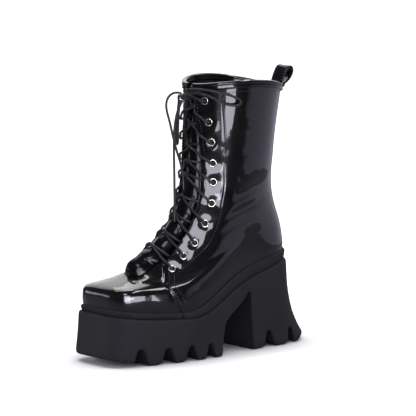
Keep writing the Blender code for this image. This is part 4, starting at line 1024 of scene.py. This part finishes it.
# The hollow between platform and heel, from the platform's rear face up and over to the heel's.
ARCH = ((-74.5, -5.0), (-74.0, 5.0), (-71.5, 17.0), (-68.5, 29.0), (-65.5, 37.0), (-58.0, 43.0),
        (-45.0, 50.5), (-36.0, 57.5), (-29.5, 64.0), (-26.0, 66.0), (-23.0, -5.0))
LUG_GAPS = (
    # y, width at the foot, height
    (-180.5, 16.5, 19.0), (-146.9, 14.2, 17.5), (-117.4, 13.6, 17.5), (-91.4, 11.4, 16.5),
    (1.5, 12.8, 18.5), (33.5, 11.2, 18.5))
GAP_DEPTH = 20.0      # from the side inwards
GAP_CROWN = 0.27      # radius of its rounded top, as a share of its width
# Its worn foot: distances beyond the gap's own side, and heights.
GAP_FOOT = ((4.5, -3.0), (4.5, 0.3), (3.0, 0.7), (1.6, 1.7), (0.6, 3.0), (0.0, 4.8))
CHANNEL_DEEP = 2.0    # the shallow channel across the tread between two gaps
CLEAR = 80            # a cutter reaches this far beyond the unit's middle
MOULD_GRAIN = 1.25    # voxels of the remesh that rounds the corners

# Carbon-black rubber straight from the mould: an even charcoal with a faint bloom and a fine,
# blasted grain.
BLOOM = dict(Scale=30.0, Detail=4.0)
rubber = patterned("matt moulded rubber", {"Specular IOR Level": 0.06},
                   bumps=((dict(Scale=2200.0, Detail=2.0), 0.25, 0.00012),),
                   tint=(BLOOM, "#28272b", "#313035"), gloss=(BLOOM, 0.58, 0.72))


def feather_outline(count):
    """Plan points of the line where the upper meets the sole, and its outward normals."""
    halves = []
    for side in (1, -1):
        points = on_ring(0.0, np.linspace(0, ring_length(0.0, side), count), side)
        halves.append(points[:, :2] if side > 0 else points[-2:0:-1, :2])
    plan = np.vstack(halves)
    run = np.roll(plan, -1, axis=0) - np.roll(plan, 1, axis=0)
    return plan, units(np.column_stack([run[:, 1], -run[:, 0]]))


def sole_wall(share, plan, normals):
    """One ring of the unit's wall."""
    out, toe, rear = (float(along(SOLE_WALL[:, 0], SOLE_WALL[:, k], share)) for k in (1, 2, 3))
    reach = out + toe * np.clip(-normals[:, 1], 0, 1) ** 2 + rear * np.clip(normals[:, 1], 0, 1)
    place = plan + normals * reach[:, None]
    top = ledge_row(np.clip(place[:, 1], SOLE[0, 0], SOLE[-1, 0]))
    bottom = along(TREAD[:, 0], TREAD[:, 1], place[:, 1])
    return np.column_stack([place, top + share * (bottom - top)])


def ladder(ring, flip):
    """Faces across a ring of point numbers, from one side to the other."""
    faces = []
    for k in range(len(ring) // 2):
        loop = list(dict.fromkeys((ring[k], ring[k + 1], ring[-(k + 1) % len(ring)], ring[-k % len(ring)])))
        faces.append(loop[::-1] if flip else loop)
    return faces


def face_outwards(obj):
    """Turns the faces of a closed piece outwards."""
    work = bmesh.new()
    work.from_mesh(obj.data)
    bmesh.ops.recalc_face_normals(work, faces=work.faces)
    work.to_mesh(obj.data)
    work.free()
    return obj


def layered(name, rings, material, turn, sharp=None):
    """A closed piece from rings round the sole's plan, with its ends laid across from side to side.

    turn is the step through each face of its wall: -1 the other way round."""
    size, last = len(rings[0]), (len(rings) - 1) * len(rings[0])
    faces = ladder(range(size), False) + ladder(range(last, last + size), True)
    faces += [face[::turn] for face in grid_faces(len(rings), size, wrap=True)]
    return face_outwards(new_piece(name, np.vstack(rings), faces, material, sharp=sharp))


def swept(name, rings, *materials, sharp=None):
    """A closed piece from rings with equal numbers of points, with a cap at each end."""
    faces = tube_faces(len(rings), len(rings[0]))
    return face_outwards(new_piece(name, np.vstack(rings), faces, *materials, sharp=sharp))


def cutter(name, profile, x_low, x_high):
    """A (y, z) profile stretched along x, to cut with."""
    return swept(name, [[(x, y, z) for y, z in profile] for x in (x_low, x_high)])


def cut_away(obj, cutters):
    """Takes each cutter out of obj."""
    select(obj)
    for tool in cutters:
        modifier = obj.modifiers.new("cut", "BOOLEAN")
        modifier.operation, modifier.solver, modifier.object = "DIFFERENCE", "EXACT", tool
        bpy.ops.object.modifier_apply(modifier=modifier.name)
        bpy.data.objects.remove(tool)


plan, normals = feather_outline(90)
shares = np.concatenate([[0, 0.02, 0.06], np.linspace(0.14, 0.94, 9), [0.98, 1.0]])
rings = [sole_wall(share, plan, normals) for share in shares]
unit = layered("platform_unit", rings, rubber, -1)
tools = [cutter("arch", ARCH, -CLEAR, CLEAR)]
for y, width, height in LUG_GAPS:
    crown = width * GAP_CROWN
    half = [(-width / 2 - beyond, up) for beyond, up in GAP_FOOT]
    half += [(-crown * cos(t), height - crown + crown * sin(t)) for t in np.linspace(0.2, pi / 2, 7)]
    profile = [(y + a, b) for a, b in half] + [(y - a, b) for a, b in half[-2::-1]]
    edge = rings[-2][np.abs(rings[-2][:, 1] - y) < 4]
    inner = []
    for side in (1, -1):
        at = edge[edge[:, 0] * side > 0][:, 0].mean()
        inner.append(at - side * (GAP_DEPTH - 1))
        tools.append(cutter("gap", profile, *sorted((at - side * GAP_DEPTH, at + side * GAP_DEPTH))))
    shallow = [(y - width / 2 + 1, -3), (y - width / 2 + 2, CHANNEL_DEEP),
               (y + width / 2 - 2, CHANNEL_DEEP), (y + width / 2 - 1, -3)]
    tools.append(cutter("channel", shallow, inner[1], inner[0]))
cut_away(unit, tools)
remesh = unit.modifiers.new("mould", "REMESH")
remesh.mode, remesh.voxel_size = "VOXEL", MOULD_GRAIN * MM
bpy.ops.object.modifier_apply(modifier=remesh.name)
soften = unit.modifiers.new("soften", "SMOOTH")
soften.factor, soften.iterations = 0.5, 5
bpy.ops.object.modifier_apply(modifier=soften.name)
thin_out = unit.modifiers.new("thin_out", "DECIMATE")
thin_out.ratio = 0.45
bpy.ops.object.modifier_apply(modifier=thin_out.name)
unit.data.shade_smooth()
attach(unit, "root")
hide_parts("outsole")

# ---------------------------------------------------------------- the welt band
# A moulded strip of the same rubber, glued round the foot of the upper where it meets the unit,
# with fine upright ribs all along its face.
WELT_OUT = 2.6
RIB_PITCH = 1.6
RIB_HIGH = 0.35
RIB_COLUMNS = 6       # of the grid, to one rib
RIB_VALLEY = -0.6     # the valleys are flat, at this share of the ribs' height
WELT_SECTION = (
    # share of the band's height, distance out from the upper, how far it is ribbed
    (0.02, -0.2, 0), (0.03, 1.9, 0), (0.07, 2.4, 0.3), (0.14, WELT_OUT, 1), (0.45, WELT_OUT, 1),
    (0.80, WELT_OUT, 1), (0.88, 2.45, 0.3), (0.95, 1.9, 0), (0.99, 1.2, 0), (1.0, -0.2, 0))
WELT_LEVELS = np.linspace(0, 1.5, 16)
welt_rows = [[] for _ in WELT_SECTION]
for side in (1, -1):
    count = int(ring_length(0.4, side) / RIB_PITCH) * RIB_COLUMNS
    share = np.arange(count) / count
    rib = np.maximum(np.cos(share * count / RIB_COLUMNS * 2 * pi), RIB_VALLEY)
    layers = []
    for level in WELT_LEVELS:
        reach = share * ring_length(level, side)
        points, normals = surface(level, reach, side)
        layers.append(np.column_stack([points, normals, panel_lift(level, reach)]))
    layers = np.array(layers)
    rise = np.array([np.interp(1.0, WELT_LEVELS, layers[:, k, 2]) for k in range(count)]) - layers[0, :, 2]
    height = band_row(layers[0, :, 1])
    for row, (part, lift, ribbed) in zip(welt_rows, WELT_SECTION):
        at = np.clip(part * height / rise / WELT_LEVELS[1], 0, len(WELT_LEVELS) - 1.001)
        k = at.astype(int)
        here = np.arange(count)
        mixed = layers[k, here] + (at - k)[:, None] * (layers[k + 1, here] - layers[k, here])
        run = mixed[:, :3] + (mixed[:, 6] + lift + ribbed * RIB_HIGH * rib)[:, None] * mixed[:, 3:6]
        row.append(run if side > 0 else run[::-1])
welt_rows = [np.vstack(row) for row in welt_rows]
columns = len(welt_rows[0])
last = (len(WELT_SECTION) - 1) * columns
faces = grid_faces(len(WELT_SECTION), columns, wrap=True)
faces += [(last + k, last + (k + 1) % columns, (k + 1) % columns, k) for k in range(columns)]
welt = new_piece("welt_band", np.vstack(welt_rows), faces, rubber, sharp=70)
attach(welt, "root")
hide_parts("welt")

# ---------------------------------------------------------------- the insole
# A sock of lining cloth over thin foam, glued in the bottom of the boot and dished to the foot.
SOCK_SECTION = ((0.3, 3.1), (2.4, 3.1), (3.1, 3.6), (3.3, 5.5), (3.0, 10.0), (2.8, 16.0))  # height, inset
plan, normals = feather_outline(60)
rings = []
for up, inset in SOCK_SECTION:
    edge = plan - normals * inset
    rings.append(np.column_stack([edge, ledge_row(edge[:, 1]) + up]))
# Brushed cloth over foam: soft, dark and matt, with a fine nap.
NAP = dict(Scale=1500.0, Detail=3.0)
sock_cloth = patterned("black sock cloth", {"Roughness": 0.85, "Sheen Weight": 0.3},
                       bumps=((NAP, 0.5, 0.0002),), tint=(NAP, "#151517", "#29292c"))
sock = layered("insole_sock", rings, sock_cloth, 1, sharp=60)
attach(sock, "root")
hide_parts("insole")

# ---------------------------------------------------------------- the collar's binding
# A folded strip of patent over a cord, sewn round the collar: a flat band outside, a rolled bead on
# the edge and a narrow turn-in on the lining.
BINDING_SECTION = (
    # out from the plain surface, up from the collar's edge
    (2.0, -5.1), (2.3, -4.8), (2.4, -3.2), (2.35, -1.6), (2.05, -0.75), (2.15, -0.35), (2.6, 0.15),
    (2.85, 1.0), (2.7, 1.9), (2.1, 2.7), (1.2, 3.2), (0.0, 3.35), (-1.3, 3.1), (-2.3, 2.4), (-2.85, 1.3),
    (-2.8, 0.2), (-2.65, -0.6), (-2.95, -1.2), (-3.0, -4.2), (-2.8, -4.9), (-2.3, -5.0), (1.2, -5.0))
BINDING_FALL = 0.6    # it lies this much nearer behind the stays, where the upper is thinner
BINDING_STATIONS = 84
stations = []
for side in (1, -1):
    reach = np.linspace(throat(TOP)[0], ring_length(TOP, side), BINDING_STATIONS)
    points, normals = surface(TOP, reach, side)
    out = units(np.column_stack([normals[:, :2], np.zeros(len(reach))]))
    fall = (1 - panel_lift(TOP, reach) / STAY_STEP) * BINDING_FALL
    run = [place + np.outer([o - (f if o > 0 else 0) for o, u in BINDING_SECTION], way)
           + np.array([(0, 0, u) for o, u in BINDING_SECTION]) for place, way, f in zip(points, out, fall)]
    stations.append(run if side > 0 else run[-2::-1])
stations = stations[0] + stations[1]
binding = swept("binding_roll", stations, patent, sharp=70)
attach(binding, "root")
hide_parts("collar_binding")

# ---------------------------------------------------------------- the back stay
# A straight strip of patent over the back seam, skived at its edges and sewn down both sides.
BACK_HALF = 9.0
BACK_SEAM, BACK_SEAM_LIFT = 6.4, 1.0        # its two stitch lines, drawn in a little
# Half of its section: distance from the back line, and lift.
BACK_SECTION = ((0.0, 1.15), (3.2, 1.1), (BACK_SEAM, BACK_SEAM_LIFT), (8.0, 1.05), (8.7, 0.75),
                (BACK_HALF, 0.1))
BACK_SUNK = 0.3       # its under face lies in the leather
BAND_LEVEL = 16.62    # the lower edge of the collar's binding
offsets, lifts = np.array([(-a, b) for a, b in BACK_SECTION[:0:-1]] + list(BACK_SECTION)).T
rows = []
for level in np.linspace(1.05, BAND_LEVEL, 110):
    points, normals = surface(level, ring_length(level, 1) + offsets, 1)
    rows.append(np.vstack([points + lifts[:, None] * normals, points[::-1] - BACK_SUNK * normals[::-1]]))
back_strip = swept("back_strip", rows, patent, sharp=70)
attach(back_strip, "root")
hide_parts("back_stay")

# ---------------------------------------------------------------- the pull loop
# A strap of patent folded to two layers, bent into a loop and sewn to the back of the collar. Two
# rows of stitches draw it in a little along its edges.
LOOP_PATH = ((45.9, 280.6), (46.2, 286.0), (48.3, 292.0), (51.2, 298.0), (54.0, 302.0), (57.6, 303.4),
             (60.6, 301.4), (61.2, 297.2), (58.4, 291.6), (53.4, 287.2), (49.4, 284.6), (48.0, 281.2))
LOOP_HALF_WIDE = 10.0
LOOP_THICK = 1.6
# Its inner face, across: shares of the half width and of the half thickness.
LOOP_FACE = ((-1, -0.5), (-0.96, -0.85), (-0.88, -1.0), (-0.7, -0.86), (0.0, -0.8), (0.7, -0.86),
             (0.88, -1.0), (0.96, -0.85), (1, -0.5))
loop_line = smooth_run([(0, y, z) for y, z in LOOP_PATH], 0.9)
heading = headings(loop_line)
outward = np.column_stack([np.zeros(len(loop_line)), -heading[:, 2], heading[:, 1]])
strap = list(LOOP_FACE) + [(a, -b) for a, b in LOOP_FACE[::-1]]
rows = [place + np.array([(LOOP_HALF_WIDE * a, 0, 0) for a, b in strap])
        + np.outer([LOOP_THICK / 2 * b for a, b in strap], out) for place, out in zip(loop_line, outward)]
loop_strap = swept("loop_strap", rows, patent, sharp=60)
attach(loop_strap, "root")
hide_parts("pull_loop")

# ---------------------------------------------------------------- the stitching
# Bonded black thread in a lock stitch: along the stays' edges, twice down the seam of vamp and
# quarter, under the binding, down the back stay and round the pull loop.
STITCH = 1.9
STITCH_PITCH = 3.3
STITCH_WIDE, STITCH_HIGH = 0.40, 0.34       # its half width and half height
THREAD_OVER = 0.12    # its middle lies this much over the leather
STAY_EDGE = 4.2       # from the stay's front edge to its stitches
VAMP_SEAMS = 2.4, 8.4                       # behind the quarter's front edge
LOOP_SEAM = 0.78      # share of the pull loop's half width
# Bonded polyester: twisted, waxed smooth, a shade lighter than the leather.
thread = patterned("bonded black thread", {"Base Color": srgb("#3a3a3f"), "Roughness": 0.4},
                   bumps=((dict(Scale=3000.0), 0.4, 0.0001),))

bpy.ops.object.select_all(action="DESELECT")
bpy.ops.mesh.primitive_uv_sphere_add(segments=6, ring_count=5, radius=1)
stitch_model = bpy.context.object
stitch_points = np.array([v.co[:] for v in stitch_model.data.vertices])[:, [2, 0, 1]]
stitch_faces = [tuple(face.vertices) for face in stitch_model.data.polygons]
bpy.data.objects.remove(stitch_model)
sewn = []


def sew(points, normals):
    """Stitches at an even pitch along a line on the leather, each sunk half into it."""
    points, normals = np.asarray(points, float), np.asarray(normals, float)
    length = run_length(points)
    for at in np.arange(STITCH_PITCH / 2, length[-1] - STITCH_PITCH / 2, STITCH_PITCH):
        start, end = read_run([at - STITCH / 2, at + STITCH / 2], length, points)
        run = (end - start) / np.linalg.norm(end - start)
        normal = read_run(at, length, normals)[0]
        normal -= run * (normal @ run)
        normal /= np.linalg.norm(normal)
        axes = np.array([run * STITCH / 2, np.cross(normal, run) * STITCH_WIDE, normal * STITCH_HIGH])
        sewn.append((start + end) / 2 + stitch_points @ axes)


def sew_along(side, levels, reach_at):
    """Sews a line of the upper that a rule gives as a reach for each level."""
    points, normals = [], []
    for level in levels:
        reach = reach_at(level)
        place, normal = surface(level, reach, side)
        lift = panel_lift(level, np.array([reach])) + relief(place, side)
        points.append(place[0] + (lift[0] + THREAD_OVER) * normal[0])
        normals.append(normal[0])
    sew(points, normals)


for side in (1, -1):
    sew_along(side, np.linspace(7.5, 16.6, 90), lambda level: throat(level)[0] + STAY_EDGE)
    sew_along(side, np.linspace(STAY_END + 0.15, 16.65, 110), lambda level: throat(level)[2] - STAY_SEAM)
    for behind in VAMP_SEAMS:
        sew_along(side, np.linspace(0.95, 5.9, 60), lambda level: throat(level)[1] + behind)
    around = np.linspace(throat(TOP)[0] + 2, ring_length(TOP, side) - BACK_HALF, 120)
    narrower = ring_length(BAND_LEVEL, side) / ring_length(TOP, side)
    points, normals = surface(BAND_LEVEL, around * narrower, side)
    sew(points + (panel_lift(BAND_LEVEL, around) + THREAD_OVER)[:, None] * normals, normals)
for offset in (-BACK_SEAM - 0.2, BACK_SEAM + 0.2):
    line = [surface(level, ring_length(level, 1) + offset, 1) for level in np.linspace(1.3, 16.4, 90)]
    sew([points[0] + (BACK_SEAM_LIFT + THREAD_OVER) * normals[0] for points, normals in line],
        [normals[0] for points, normals in line])
free = slice(4, -4)    # the loop's ends are under the binding
for edge in (-LOOP_SEAM, LOOP_SEAM):
    for face in (-1, 1):
        out = outward[free] * face
        sew(loop_line[free] + (LOOP_HALF_WIDE * edge, 0, 0) + out * LOOP_THICK * 0.47, out)
size = len(stitch_points)
faces = [[v + k * size for v in face] for k in range(len(sewn)) for face in stitch_faces]
stitches = new_piece("stitching", np.vstack(sewn), faces, thread)
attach(stitches, "root")
